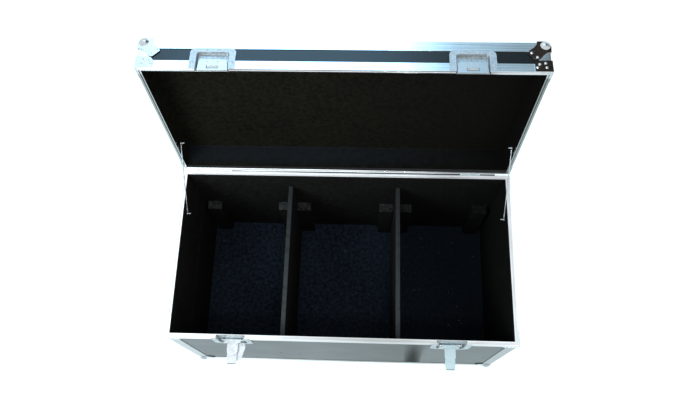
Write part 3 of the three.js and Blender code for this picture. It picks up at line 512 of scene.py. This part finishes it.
finishes = {
    "aluminiumBase": aluminiumFinish("aluminiumBase", "y", 0.45, 0.3, 1.2, 0.56, rearShine=0.42),
    "aluminiumLid": aluminiumFinish("aluminiumLid", "z", 1.0, 0.09, endShade=0.9),
    # painted highlight: the lid's rear seat is a paler copy of the aluminium, with the rear bars' painted
    # highlight at full strength
    "aluminiumSeat": aluminiumFinish("aluminiumSeat", "z", 0.0, 0.4, 1.35, rearShine=1.0, rearShade=0.25,
                                     specular=0.15, lap=True),
    # painted shade: the upright lip beside the lining is near black
    "lipShade": aluminiumFinish("lipShade", "y", 0.0, 0.6, 0.03, specular=0.1),
    "aluminiumUpright": aluminiumFinish("aluminiumUpright", "z", 0.8, 0.3, 0.6, frontDarkening=0.9),
    "zinc": zincFinish("zincPlate", (0.43, 0.47, 0.49), (0.23, 0.255, 0.27), 0.36),
    "brightZinc": zincFinish("brightZinc", (0.54, 0.57, 0.585), (0.33, 0.365, 0.38), 0.32, fade=0.8,
                             tip=True),
    "polish": zincFinish("polishedPlate", (0.44, 0.46, 0.47), (0.33, 0.345, 0.355), 0.1),
    # painted brown reflection: the plates at the lid's right end take a dark brown colour
    "brownReflection": zincFinish("brownReflectionPlate", (0.085, 0.055, 0.042), (0.035, 0.024, 0.02), 0.12),
    "rivet": zincFinish("rivet", (0.5, 0.52, 0.53), (0.4, 0.42, 0.43), 0.12),
    "laminate": laminateFinish("laminate", 0.32),
    "lidLaminate": laminateFinish("lidLaminate", 0.14),
    "wallFelt": feltFinish("wallFelt", (0.0013, 0.0014, 0.0012), (0.0065, 0.0068, 0.0058), lint=0.5,
                           posts=True),
    "lidFelt": feltFinish("lidFelt", (0.0007, 0.0006, 0.0003), (0.005, 0.0046, 0.0022), rearWall=True),
    "floorFelt": feltFinish("floorFelt", (0.003, 0.005, 0.008), (0.013, 0.02, 0.031), lint=1.0),
    "board": boardFinish("board"),
    "rubber": rubberFinish("rubber"),
    "dustStrip": zincFinish("dustStrip", (0.66, 0.69, 0.7), (0.46, 0.49, 0.5), 0.4, fade=0.5, slit=True),
    "blackScrew": zincFinish("blackScrew", (0.05, 0.052, 0.055), (0.02, 0.021, 0.022), 0.3),
}
print("finishes made:", len(finishes))


def newPiece(name, vertices, faces, finish):
    # a smooth mesh with its open ends closed and its faces turned outwards
    mesh = bpy.data.meshes.new(name)
    mesh.from_pydata(np.asarray(vertices, float).tolist(), [], np.asarray(faces).tolist())
    mesh.update()
    work = bmesh.new()
    work.from_mesh(mesh)
    bmesh.ops.holes_fill(work, edges=[edge for edge in work.edges if edge.is_boundary], sides=0)
    bmesh.ops.recalc_face_normals(work, faces=work.faces)
    work.to_mesh(mesh)
    work.free()
    mesh.polygons.foreach_set("use_smooth", np.ones(len(mesh.polygons), bool))
    mesh.materials.append(finishes[finish])
    piece = bpy.data.objects.new(name, mesh)
    bpy.context.collection.objects.link(piece)
    return piece


def merged(name, parts, finish):
    # one piece from the points and faces of several surfaces
    points, faces, base = [], [], 0
    for vertices, quads in parts:
        points.append(vertices)
        faces.append(quads + base)
        base += len(vertices)
    return newPiece(name, np.concatenate(points), np.concatenate(faces), finish)


def gridFaces(rows, columns):
    # quads over a grid of points, each row joined round from its last column to its first
    row, column = np.meshgrid(np.arange(rows - 1), np.arange(columns), indexing="ij")
    following = (column + 1) % columns
    here, above = row * columns, (row + 1) * columns
    return np.stack((here + column, here + following, above + following, above + column), -1).reshape(-1, 4)


def unit(vectors):
    vectors = np.asarray(vectors, float)
    return vectors / np.linalg.norm(vectors, axis=-1, keepdims=True)


def sideways(normals, steep=0.9):
    # two directions square to each normal and to each other
    helper = np.where(np.abs(normals[:, 2:3]) < steep, [[0.0, 0.0, 1.0]], [[1.0, 0.0, 0.0]])
    first = unit(np.cross(helper, normals))
    return first, np.cross(normals, first)


headShape = {"middle": 0.02, "socketReach": 0.45, "rimStart": 0.99, "rimDrop": 0.34}


def studs(name, places, normals, head, finish, body, rings=4, spokes=12, socket=0.0):
    # domed heads: at ring t the radius is r sin(90 t) and the height h cos(90 t), with a socket sunk into the
    # middle and the rim sunk by a third of h
    places = np.asarray(places, float)
    normals = unit(np.broadcast_to(normals, places.shape))
    first, second = sideways(normals)
    t = np.linspace(0.0, 1.0, rings + 1)[:, None]
    turn = np.linspace(0.0, 2 * np.pi, spokes, endpoint=False)[None, :]
    reach = head["radius"] * np.maximum(np.sin(t * np.pi / 2), headShape["middle"])
    rise = head["height"] * np.cos(t * np.pi / 2) - socket * head["height"] * (t < headShape["socketReach"])
    rise = rise - (t > headShape["rimStart"]) * head["height"] * headShape["rimDrop"] + 0 * turn
    along, across, up = (part.reshape(-1, 1) for part in (reach * np.cos(turn), reach * np.sin(turn), rise))
    grid = (
        places[:, None, :]
        + along[None] * first[:, None, :]
        + across[None] * second[:, None, :]
        + up[None] * normals[:, None, :]
    )
    quads = gridFaces(rings + 1, spokes)[:, ::-1]
    faces = (quads[None] + (np.arange(len(places)) * len(up))[:, None, None]).reshape(-1, 4)
    piece = newPiece(name, grid.reshape(-1, 3), faces, finish)
    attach(piece, body)


def tube(path, radius, spokes, bumps=0.0, lobes=0, twist=0.0):
    # a tube whose radius is r + b |cos(lobes/2 (angle - twist s))| along a path of points
    path = np.asarray(path, float)
    tangent = unit(np.gradient(path, axis=0))
    first, second = sideways(tangent)
    length = np.concatenate([[0.0], np.cumsum(np.linalg.norm(np.diff(path, axis=0), axis=1))])[:, None]
    turn = np.linspace(0.0, 2 * np.pi, spokes, endpoint=False)[None, :]
    swell = np.broadcast_to(np.asarray(radius, float).reshape(-1, 1), (len(path), 1))
    reach = swell + bumps * np.abs(np.cos(lobes / 2 * (turn - twist * length)))
    points = (
        path[:, None, :]
        + (reach * np.cos(turn))[..., None] * first[:, None, :]
        + (reach * np.sin(turn))[..., None] * second[:, None, :]
    )
    return points.reshape(-1, 3), gridFaces(len(path), spokes)


def turned(points, degrees):
    # points turned about the hinge pin, where more degrees open the lid further
    angle = math.radians(degrees)
    points = np.array(points, float)
    y, z = points[..., 1] - case["hingeY"], points[..., 2] - case["hingeZ"]
    points[..., 1] = case["hingeY"] + y * math.cos(angle) + z * math.sin(angle)
    points[..., 2] = case["hingeZ"] - y * math.sin(angle) + z * math.cos(angle)
    return points


def turnedNormals(normals, degrees):
    return turned(np.asarray(normals, float) + hingeLine, degrees) - hingeLine


def closedStuds(name, places, normals, head, finish, body):
    # heads whose places are those of the closed case; the lid's are turned open with it
    if body == "lid":
        places, normals = turned(places, case["openDegrees"]), turnedNormals(normals, case["openDegrees"])
    studs(name, places, normals, head, finish, body)


# CAD nodes: a merged copy with small bevels where light should catch the edges, or the node itself

faceLook = {"flat": 0.97, "square": 0.9, "mostly": 0.5}
extrusionExtras = ("polish", "aluminiumSeat", "lipShade", "brownReflection")
recessLook = {
    "start": 0.0005,
    "full": 0.009,
    "base": 0.3,
    "lid": 0.28,
    "handle": 0.25,
    "mouth": 0.9,
    "mouthZ": 0.522,
}
edgeLook = {"weld": 2e-5, "flatDegrees": 1.0, "segments": 2, "weight": 100}


def closedFaces(mesh, node):
    # the centres and normals of a mesh's faces as they are in the closed case
    centres, normals = (np.empty(3 * len(mesh.polygons)) for kind in range(2))
    mesh.polygons.foreach_get("center", centres)
    mesh.polygons.foreach_get("normal", normals)
    centres, normals = centres.reshape(-1, 3), normals.reshape(-1, 3)
    if bodyOf[node] == "lid":
        centres, normals = turned(centres, -case["openDegrees"]), turnedNormals(normals, -case["openDegrees"])
    return centres, normals


def brownReflectionFaces(mesh, node):
    # the flat front of the ball corner at the lid's right end, which takes a painted brown reflection
    centres, normals = closedFaces(mesh, node)
    return ((normals[:, 1] < -faceLook["flat"]) & (centres[:, 0] > 0)).astype(np.int32)


def platedFaces(mesh, node):
    # the corner braces stand proud of their extrusions, so faces beyond the case's outline take the brace's
    # finish; the lid has its rear seat, and a painted brown reflection on the front of the brace at its right
    # end; both have an upright lip beside the lining that is darkened with painted shade
    brace, seat, lip, reflectsBrown = range(1, len(extrusionExtras) + 1)
    centres, normals = closedFaces(mesh, node)
    beyond = np.maximum(np.abs(centres[:, 0]) - case["halfLength"], np.abs(centres[:, 1]) - case["halfDepth"])
    chosen = brace * (beyond > case["braceProud"] / 2).astype(np.int32)
    if bodyOf[node] == "lid":
        chosen[(chosen == brace) & (normals[:, 1] < -faceLook["square"]) & (centres[:, 0] > 0)] = reflectsBrown
        onRear = centres[:, 1] > case["halfDepth"] - case["rim"]
        chosen[(normals[:, 2] < -faceLook["mostly"]) & onRear] = seat
        inward = (normals[:, 1] < -faceLook["mostly"]) & (centres[:, 1] > 0)
    else:
        inward = np.sum(normals[:, :2] * centres[:, :2], axis=1) < 0
    chosen[inward & (np.abs(normals[:, 2]) < faceLook["mostly"]) & (beyond < -case["lip"])] = lip
    return chosen


def markRecess(mesh, node):
    # how far each vertex lies behind the case's outline, 1 at the dishes' floors, so that painted shade
    # gathers there, most of all in the mouth of the latches' dishes
    points = np.empty(3 * len(mesh.vertices))
    mesh.vertices.foreach_get("co", points)
    points = points.reshape(-1, 3)
    if bodyOf[node] == "lid":
        points = turned(points, -case["openDegrees"])
    inside = np.minimum(case["halfLength"] - np.abs(points[:, 0]), case["halfDepth"] - np.abs(points[:, 1]))
    recess = np.clip((inside - recessLook["start"]) / (recessLook["full"] - recessLook["start"]), 0.0, 1.0)
    strength = np.full(len(recess), recessLook["handle"] if "handle" in node else recessLook[bodyOf[node]])
    if bodyOf[node] == "base" and "latch" in node:
        strength[points[:, 2] > recessLook["mouthZ"]] = recessLook["mouth"]
    mark = mesh.attributes.new("recess", "FLOAT", "POINT")
    mark.data.foreach_set("value", recess * strength)


def dressed(node, finish, bevel, degrees):
    source = nodes[node]
    if bevel <= 0.0:
        source.data.materials.clear()
        source.data.materials.append(finishes[finish])
        return
    mesh = source.data.copy()
    piece = bpy.data.objects.new(node + "_dressed", mesh)
    bpy.context.collection.objects.link(piece)
    mesh.transform(source.matrix_world)
    work = bmesh.new()
    work.from_mesh(mesh)
    flat = math.radians(edgeLook["flatDegrees"])
    bmesh.ops.remove_doubles(work, verts=work.verts, dist=edgeLook["weld"])
    bmesh.ops.dissolve_limit(work, angle_limit=flat, verts=work.verts, edges=work.edges)
    bmesh.ops.connect_verts_concave(work, faces=work.faces)
    work.to_mesh(mesh)
    work.free()
    mesh.materials.clear()
    mesh.materials.append(finishes[finish])
    if "dish" in node:
        markRecess(mesh, node)
    if node.endswith("joint_extrusion"):
        for extra in extrusionExtras:
            mesh.materials.append(finishes[extra])
        mesh.polygons.foreach_set("material_index", platedFaces(mesh, node))
    # painted brown reflection on the flat front of the ball corner at the lid's right end
    if node == "lid_ball_corner_front_right":
        mesh.materials.append(finishes["brownReflection"])
        mesh.polygons.foreach_set("material_index", brownReflectionFaces(mesh, node))
    mesh.polygons.foreach_set("use_smooth", np.ones(len(mesh.polygons), bool))
    mesh.set_sharp_from_angle(angle=math.radians(degrees))
    rounding = piece.modifiers.new("edgeRounding", "BEVEL")
    rounding.width = bevel
    rounding.segments = edgeLook["segments"]
    rounding.limit_method = "ANGLE"
    rounding.angle_limit = math.radians(degrees)
    rounding.use_clamp_overlap = True
    flattening = piece.modifiers.new("broadFaces", "WEIGHTED_NORMAL")
    flattening.weight = edgeLook["weight"]
    flattening.keep_sharp = True
    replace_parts(piece, node)
    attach(piece, bodyOf[node])


# The finish, the bevel's width and the angle from which an edge is bevelled, for each material
dressing = {
    "laminated_panel": ("laminate", 0.0, 30.0),
    "aluminium_extrusion": ("aluminiumBase", 0.0003, 30.0),
    "steel_fittings": ("zinc", 0.0004, 32.0),
    "wall_lining": ("wallFelt", 0.0, 30.0),
    "floor_lining": ("floorFelt", 0.0, 30.0),
    "divider_cover": ("board", 0.0, 30.0),
}
brightParts = ("arm", "keeper", "hook", "handle", "leaf_left", "leaf_right")
rounded = {
    "nodes": ("base_front_lining", "base_rear_lining", "divider_left", "divider_right"),
    "bevel": 0.0012,
}
for node in list(nodes):
    if node.startswith("lid_stay"):
        continue
    finish, bevel, degrees = dressing[slotOf[node]]
    onLid = bodyOf[node] == "lid"
    if finish == "aluminiumBase" and onLid:
        finish = "aluminiumLid"
    elif finish == "aluminiumBase" and "corner_angle" in node:
        finish = "aluminiumUpright"
    if finish == "laminate" and onLid:
        finish = "lidLaminate"
    if node == "lid_lining":
        finish = "lidFelt"
    if "ball_corner" in node:
        finish = "polish"
    if node.endswith(brightParts) or "wing" in node:
        finish = "brightZinc"
    if node in rounded["nodes"]:
        bevel = rounded["bevel"]
    dressed(node, finish, bevel, degrees)
print("CAD nodes dressed:", len(nodes))


# Rivets on the corner braces, the ball corners' leaves and the dishes

bracePlaces = ((0.018, 0.028), (0.016, 0.0137), (0.041, 0.0137), (0.034, 0.0245))
leafRivets = {"diagonal": 0.0635, "sideways": 0.0101, "proud": 0.0019, "radius": 0.0042, "height": 0.0016}


def cornerRivets():
    found = {"base": ([], []), "lid": ([], [])}
    across = leafRivets["diagonal"] / math.sqrt(2)
    lean = leafRivets["sideways"] / math.sqrt(2)
    pair = ((across + lean, across - lean), (across - lean, across + lean))
    proud, out = case["braceProud"], leafRivets["proud"]
    joints = (("base", case["joint"], -1), ("lid", case["joint"] + case["jointGap"], 1))
    for sx in sideSigns.values():
        for sy in endSigns.values():
            x, y = sx * case["halfLength"], sy * case["halfDepth"]
            outX, outY = (sx, 0.0, 0.0), (0.0, sy, 0.0)
            for body, start, way in joints:
                places, normals = found[body]
                for inward, rise in bracePlaces:
                    z = start + way * rise
                    places += [(x - sx * inward, y + sy * proud, z), (x + sx * proud, y - sy * inward, z)]
                    normals += [outY, outX]
                far = case["bottom"] if body == "base" else case["joint"] + case["lidHeight"]
                for a, b in pair:
                    places.append((x - sx * a, y + sy * out, far - way * b))
                    places.append((x + sx * out, y - sy * a, far - way * b))
                    places.append((x - sx * a, y - sy * b, far + way * out))
                    normals += [outY, outX, (0.0, 0.0, way)]
    return found


for body, (places, normals) in cornerRivets().items():
    closedStuds(f"corner_rivets_{body}", places, normals, leafRivets, "rivet", body)

frontward, rearward = (0.0, -1.0, 0.0), (0.0, 1.0, 0.0)
dishRivets = {
    "proud": 0.0015,
    "lid": (
        (0.0175, 0.063), (-0.0175, 0.063), (0.053, 0.056), (-0.053, 0.056),
        (0.0555, 0.022), (-0.0555, 0.022),
    ),
    "base": (
        (0.0175, -0.0965), (-0.0175, -0.0965), (0.0515, -0.085), (-0.0515, -0.085),
        (0.0555, -0.045), (-0.0555, -0.045), (0.0555, -0.012), (-0.0555, -0.012),
    ),
    "radius": 0.0035,
    "height": 0.0013,
}
for body in ("base", "lid"):
    y = -case["halfDepth"] - dishRivets["proud"]
    spots = dishRivets[body]
    places = [(sign * case["latchX"] + x, y, case["joint"] + z) for sign in (-1, 1) for x, z in spots]
    closedStuds(f"dish_rivets_{body}", places, frontward, dishRivets, "zinc", body)

keeperStuds = {"x": 0.0144, "rise": 0.0285, "depth": 0.0059, "radius": 0.0028, "height": 0.0012}
y, z = -case["halfDepth"] + keeperStuds["depth"], case["joint"] + keeperStuds["rise"]
places = [(sign * case["latchX"] + side * keeperStuds["x"], y, z) for sign in (-1, 1) for side in (-1, 1)]
closedStuds("keeper_studs", places, frontward, keeperStuds, "zinc", "lid")

postScrews = {
    "x": (0.155, 0.225, 0.506),
    "z": (0.212, 0.063),
    "proud": 0.2871,
    "radius": 0.0034,
    "height": 0.0009,
    "socket": 0.6,
}
for end, way in endSigns.items():
    y = way * postScrews["proud"]
    places = [(sign * x, y, z) for x in postScrews["x"] for sign in (-1, 1) for z in postScrews["z"]]
    studs(f"post_screws_{end}", places, (0.0, way, 0.0), postScrews, "blackScrew", "base",
          socket=postScrews["socket"])
print("rivets and screws placed")


# Lid stays: twisted wire rope, a swaged ferrule and an eyelet at each end, and the screws that hold them

stay = {
    "x": 0.5469,
    "base": (0.145, 0.4961),
    "lid": (0.3315, 0.6739),
    "rope": {"radius": 0.00135, "steps": 140, "spokes": 18, "strands": 6, "strandRise": 0.0004, "lay": 420.0},
    "ferrule": {"radius": 0.0026, "length": 0.015, "steps": 9, "spokes": 14, "taper": 0.35, "crimp": 0.08},
    "eye": {"radius": 0.0048, "wire": 0.0018, "steps": 25, "spokes": 8},
    "inset": 0.0008,
    "screw": {"radius": 0.0046, "height": 0.0022, "rings": 5, "spokes": 18, "socket": 0.3},
    "pin": {"radius": 0.0026, "height": 0.011, "rings": 6, "spokes": 16},
}


def stayPiece(name, sign):
    # at s from -1/2 to 1/2 along a ferrule its radius is r (1 - taper (2 |s|)^6) (1 - crimp cos(4 pi s))
    rope, ferrule, eye = stay["rope"], stay["ferrule"], stay["eye"]
    start, finish = (np.array([sign * stay["x"], *stay[body]]) for body in ("base", "lid"))
    along = unit(finish - start)
    span = np.linalg.norm(finish - start)
    steps = np.linspace(eye["radius"], span - eye["radius"], rope["steps"])[:, None]
    strands = (rope["strandRise"], rope["strands"], rope["lay"])
    parts = [tube(start + along * steps, rope["radius"], rope["spokes"], *strands)]
    share = np.linspace(-0.5, 0.5, ferrule["steps"])
    swell = ferrule["radius"] * (1 - ferrule["taper"] * (2 * np.abs(share)) ** 6)
    swell = swell * (1 - ferrule["crimp"] * np.cos(share * 4 * np.pi))
    for middle in (eye["radius"] + ferrule["length"] / 2, span - eye["radius"] - ferrule["length"] / 2):
        path = start + along * (middle + share * ferrule["length"])[:, None]
        parts.append(tube(path, swell, ferrule["spokes"]))
    turn = np.linspace(0.0, 2 * np.pi, eye["steps"])
    square = np.cross(along, [1.0, 0.0, 0.0])
    for centre in (start, finish):
        ring = centre + eye["radius"] * (np.cos(turn)[:, None] * along + np.sin(turn)[:, None] * square)
        parts.append(tube(ring, eye["wire"] / 2, eye["spokes"]))
    piece = merged(name, parts, "zinc")
    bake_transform(piece)
    return piece


for side, sign in sideSigns.items():
    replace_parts(stayPiece(f"lid_stay_rope_{side}", sign), f"lid_stay_{side}")
    inward = (-sign, 0.0, 0.0)
    screw, pin = stay["screw"], stay["pin"]
    for body in ("base", "lid"):
        places = [(sign * (stay["x"] - stay["inset"]), *stay[body])]
        studs(f"stay_screw_{body}_{side}", places, inward, screw, "zinc", body, screw["rings"],
              screw["spokes"], screw["socket"])
        studs(f"stay_pin_{body}_{side}", places, inward, pin, "brightZinc", body, pin["rings"], pin["spokes"])
print("lid stays made")


# Springs, the handles' rubber grips, the hinges' rivets and the dust strip behind the joint

latchSpring = {
    "start": 0.0272,
    "finish": 0.0353,
    "y": -0.2834,
    "z": 0.4761,
    "radius": 0.0043,
    "wire": 0.00055,
    "turns": 8,
    "stepsPerTurn": 18,
    "legDrop": 0.009,
    "legSteps": (0.1, 1.0, 6),
    "spokes": 7,
}


def latchCoil(sign, way):
    # a helix about the latch's pin: start + s length axis + radius (cos 2 pi turns s, sin 2 pi turns s), and
    # then a straight leg that hangs from its end
    start = np.array([sign * case["latchX"] + way * latchSpring["start"], latchSpring["y"], latchSpring["z"]])
    axis = unit((way, 0.0, 0.0))
    first, second = (part[0] for part in sideways(axis[None]))
    s = np.linspace(0.0, 1.0, latchSpring["turns"] * latchSpring["stepsPerTurn"] + 1)[:, None]
    angle = 2 * np.pi * latchSpring["turns"] * s
    length = latchSpring["finish"] - latchSpring["start"]
    circle = np.cos(angle) * first + np.sin(angle) * second
    path = start + s * length * axis + latchSpring["radius"] * circle
    leg = np.array([0.0, 0.0, -latchSpring["legDrop"]])
    tail = path[-1] + np.linspace(*latchSpring["legSteps"])[:, None] * leg
    return tube(np.concatenate([path, tail]), latchSpring["wire"], latchSpring["spokes"])


for side, sign in sideSigns.items():
    piece = merged(f"latch_{side}_springs", [latchCoil(sign, way) for way in (-1, 1)], "polish")
    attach(piece, "base")

grip = {
    "x": 0.5575,
    "z": 0.27405,
    "half": 0.0375,
    "radius": 0.0051,
    "rib": 0.0003,
    "ribs": 15,
    "end": 1.02,
    "steepness": 22,
    "roundness": 0.3,
    "steps": 181,
    "spokes": 24,
}
for side, sign in sideSigns.items():
    # a ribbed sleeve: the radius is r + rib cos(pi ribs y / half), rounded off at both ends
    y = np.linspace(-grip["half"], grip["half"], grip["steps"])
    path = np.stack([np.full_like(y, sign * grip["x"]), y, np.full_like(y, grip["z"])], axis=1)
    swell = grip["radius"] + grip["rib"] * np.cos(y / grip["half"] * np.pi * grip["ribs"])
    ends = np.clip((grip["end"] - np.abs(y) / grip["half"]) * grip["steepness"], 0.0, 1.0)
    sleeve = tube(path, swell * ends ** grip["roundness"], grip["spokes"])
    piece = merged(f"handle_{side}_grip", [sleeve], "rubber")
    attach(piece, f"handle_{side}_bail")

handleRivets = {
    "x": 0.5641,
    "places": (
        (-0.072, 0.2495), (0.072, 0.2495), (-0.072, 0.3505), (0.072, 0.3505),
        (0.0, 0.2485), (0.0, 0.3515),
    ),
    "radius": 0.0036,
    "height": 0.0014,
}
for side, sign in sideSigns.items():
    places = [(sign * handleRivets["x"], y, z) for y, z in handleRivets["places"]]
    studs(f"handle_rivets_{side}", places, (sign, 0.0, 0.0), handleRivets, "polish", "base")

hingeRivets = {
    "x": (0.408, 0.43, 0.452),
    "y": 0.2911,
    "base": 0.5165,
    "lid": 0.5595,
    "radius": 0.003,
    "height": 0.0011,
}
for body in ("base", "lid"):
    places = [(sign * x, hingeRivets["y"], hingeRivets[body]) for sign in (-1, 1) for x in hingeRivets["x"]]
    closedStuds(f"hinge_rivets_{body}", places, rearward, hingeRivets, "polish", body)

# a strip with a round bead on the hinge line closes the slit behind the joint, between and beside the hinges;
# the lid turns about the bead, so it clears it at every angle
dustStrip = {
    "spans": ((-0.515, -0.4632), (-0.3968, 0.3968), (0.4632, 0.515)),
    "beadRadius": 0.0031,
    "arc": (-120.0, 190.0, 23),
    "leaf": ((0.2889, 0.5372), (0.2889, 0.5165), (0.2904, 0.5165), (0.2904, 0.5338)),
    "steps": 9,
}


def dustStripParts():
    # the section is a leaf and then an arc about the hinge line, and it runs along each span
    arc = np.radians(np.linspace(*dustStrip["arc"]))
    bead = hingeLine[1:] + dustStrip["beadRadius"] * np.column_stack([np.cos(arc), np.sin(arc)])
    outline = np.concatenate([dustStrip["leaf"], bead])
    for start, finish in dustStrip["spans"]:
        x = np.linspace(start, finish, dustStrip["steps"])
        points = np.stack([np.column_stack([np.full(len(outline), place), outline]) for place in x])
        yield points.reshape(-1, 3), gridFaces(len(x), len(outline))


piece = merged("dust_strip", dustStripParts(), "dustStrip")
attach(piece, "base")
print("springs, grips, hinge rivets and dust strip made")


# Floor, light and camera

stageLook = {
    "size": 14.0,
    "gap": 0.0002,
    "floor": (0.2, 0.2, 0.2, 1.0),
    "roughness": 0.9,
    "tint": (0.74, 0.94, 0.98, 1.0),
    "glow": 1.05,
}
half, height = stageLook["size"] / 2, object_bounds()[0][2] - stageLook["gap"]
floorMesh = bpy.data.meshes.new("studio_floor")
corners = [(-half, -half, height), (half, -half, height), (half, half, height), (-half, half, height)]
floorMesh.from_pydata(corners, [], [(0, 1, 2, 3)])
floor = bpy.data.objects.new("studio_floor", floorMesh)
bpy.context.collection.objects.link(floor)
paper = Shader("studioPaper")
paper.set(baseColor=stageLook["floor"], roughness=stageLook["roughness"])
paper.set(emissionColor=stageLook["tint"], emissionStrength=stageLook["glow"])
floorMesh.materials.append(paper.material)

# The studio's light by direction: an even dome, a broad pale blue screen behind the case on the left, and to
# the right of it a dimmer steel blue that ends in a dark brown corner
screen = {
    "dome": (1.5, 1.53, 1.55),
    "lean": 0.92,
    "full": 0.13,
    "edge": 0.2,
    "widening": 0.3,
    "widens": (0.03, 0.12),
    "behind": 0.3,
    "stops": (
        (0.345, (1.5, 1.8, 1.95)),
        (0.353, (2.8, 5.2, 7.4)),
        (0.5, (2.7, 5.0, 7.0)),
        (0.53, (2.1, 3.7, 5.2)),
        (0.552, (0.95, 1.4, 1.7)),
        (0.575, (0.55, 0.82, 1.0)),
        (0.59, (0.52, 0.78, 0.95)),
        (0.622, (0.55, 0.78, 0.9)),
        (0.634, (0.07, 0.04, 0.028)),
        (0.7, (0.06, 0.035, 0.025)),
        (0.75, (0.7, 0.72, 0.74)),
    ),
}


def studioLight():
    dome = Shader("studio", bpy.data.worlds, "Background")
    x, y, z = dome.axes(dome.node("ShaderNodeTexCoord", output="Generated"))
    distance = (y - z * screen["lean"]).size() - x.ramp(*screen["widens"]) * screen["widening"]
    behind = (y > screen["behind"]) * (1 - distance.ramp(screen["full"], screen["edge"]))
    # the stops run from 0 at the far left to 1 at the far right
    sweep = dome.ramped(x * 0.5 + 0.5, screen["stops"])
    dome.feed(dome.surface.inputs["Color"], dome.mix(behind, screen["dome"], sweep))
    return dome.material


bpy.context.scene.world = studioLight()

# A broad soft lamp to the left in front, and a small one beside the camera that puts a spark on each rounded
# head
lamps = {
    "soft": {"place": (-1.5, -1.3, 2.2), "size": 1.1, "power": 75.0, "colour": (0.82, 0.93, 1.0)},
    "spark": {"place": (0.3, -1.0, 2.95), "size": 0.2, "power": 14.0, "colour": (1.0, 1.0, 1.0)},
}
lampAim = (0.0, 0.1, 0.6)
for name, look in lamps.items():
    lamp = bpy.data.objects.new(f"{name}_lamp", bpy.data.lights.new(f"{name}_lamp", "AREA"))
    lamp.data.size = look["size"]
    lamp.data.energy = look["power"]
    lamp.data.color = look["colour"]
    aim = Vector(lampAim) - Vector(look["place"])
    lamp.matrix_world = Matrix.Translation(look["place"]) @ aim.to_track_quat("-Z", "Y").to_matrix().to_4x4()
    bpy.context.collection.objects.link(lamp)

view = {
    "place": (0.0666, -0.6044, 2.6888),
    "yaw": -6.533,
    "pitch": 69.835,
    "roll": -5.089,
    "focal": 670.33,
    "width": 675.0,
    "sensor": 36.0,
    "near": 0.05,
}


def photoCamera():
    yaw, pitch, roll = (math.radians(view[key]) for key in ("yaw", "pitch", "roll"))
    forward = Vector((math.sin(yaw) * math.cos(pitch), math.cos(yaw) * math.cos(pitch), -math.sin(pitch)))
    right = Vector((math.cos(yaw), -math.sin(yaw), 0.0))
    up = right.cross(forward)
    rolledRight = math.cos(roll) * right + math.sin(roll) * up
    rolledUp = -math.sin(roll) * right + math.cos(roll) * up
    camera = bpy.data.objects.new("photoCamera", bpy.data.cameras.new("photoCamera"))
    camera.data.sensor_fit = "HORIZONTAL"
    camera.data.sensor_width = view["sensor"]
    camera.data.lens = view["focal"] / view["width"] * view["sensor"]
    camera.data.clip_start = view["near"]
    axes = Matrix((rolledRight, rolledUp, -forward)).transposed().to_4x4()
    camera.matrix_world = Matrix.Translation(view["place"]) @ axes
    bpy.context.collection.objects.link(camera)
    bpy.context.scene.camera = camera


photoCamera()
bpy.context.scene.view_settings.view_transform = "Standard"
print("stage, light and camera set")
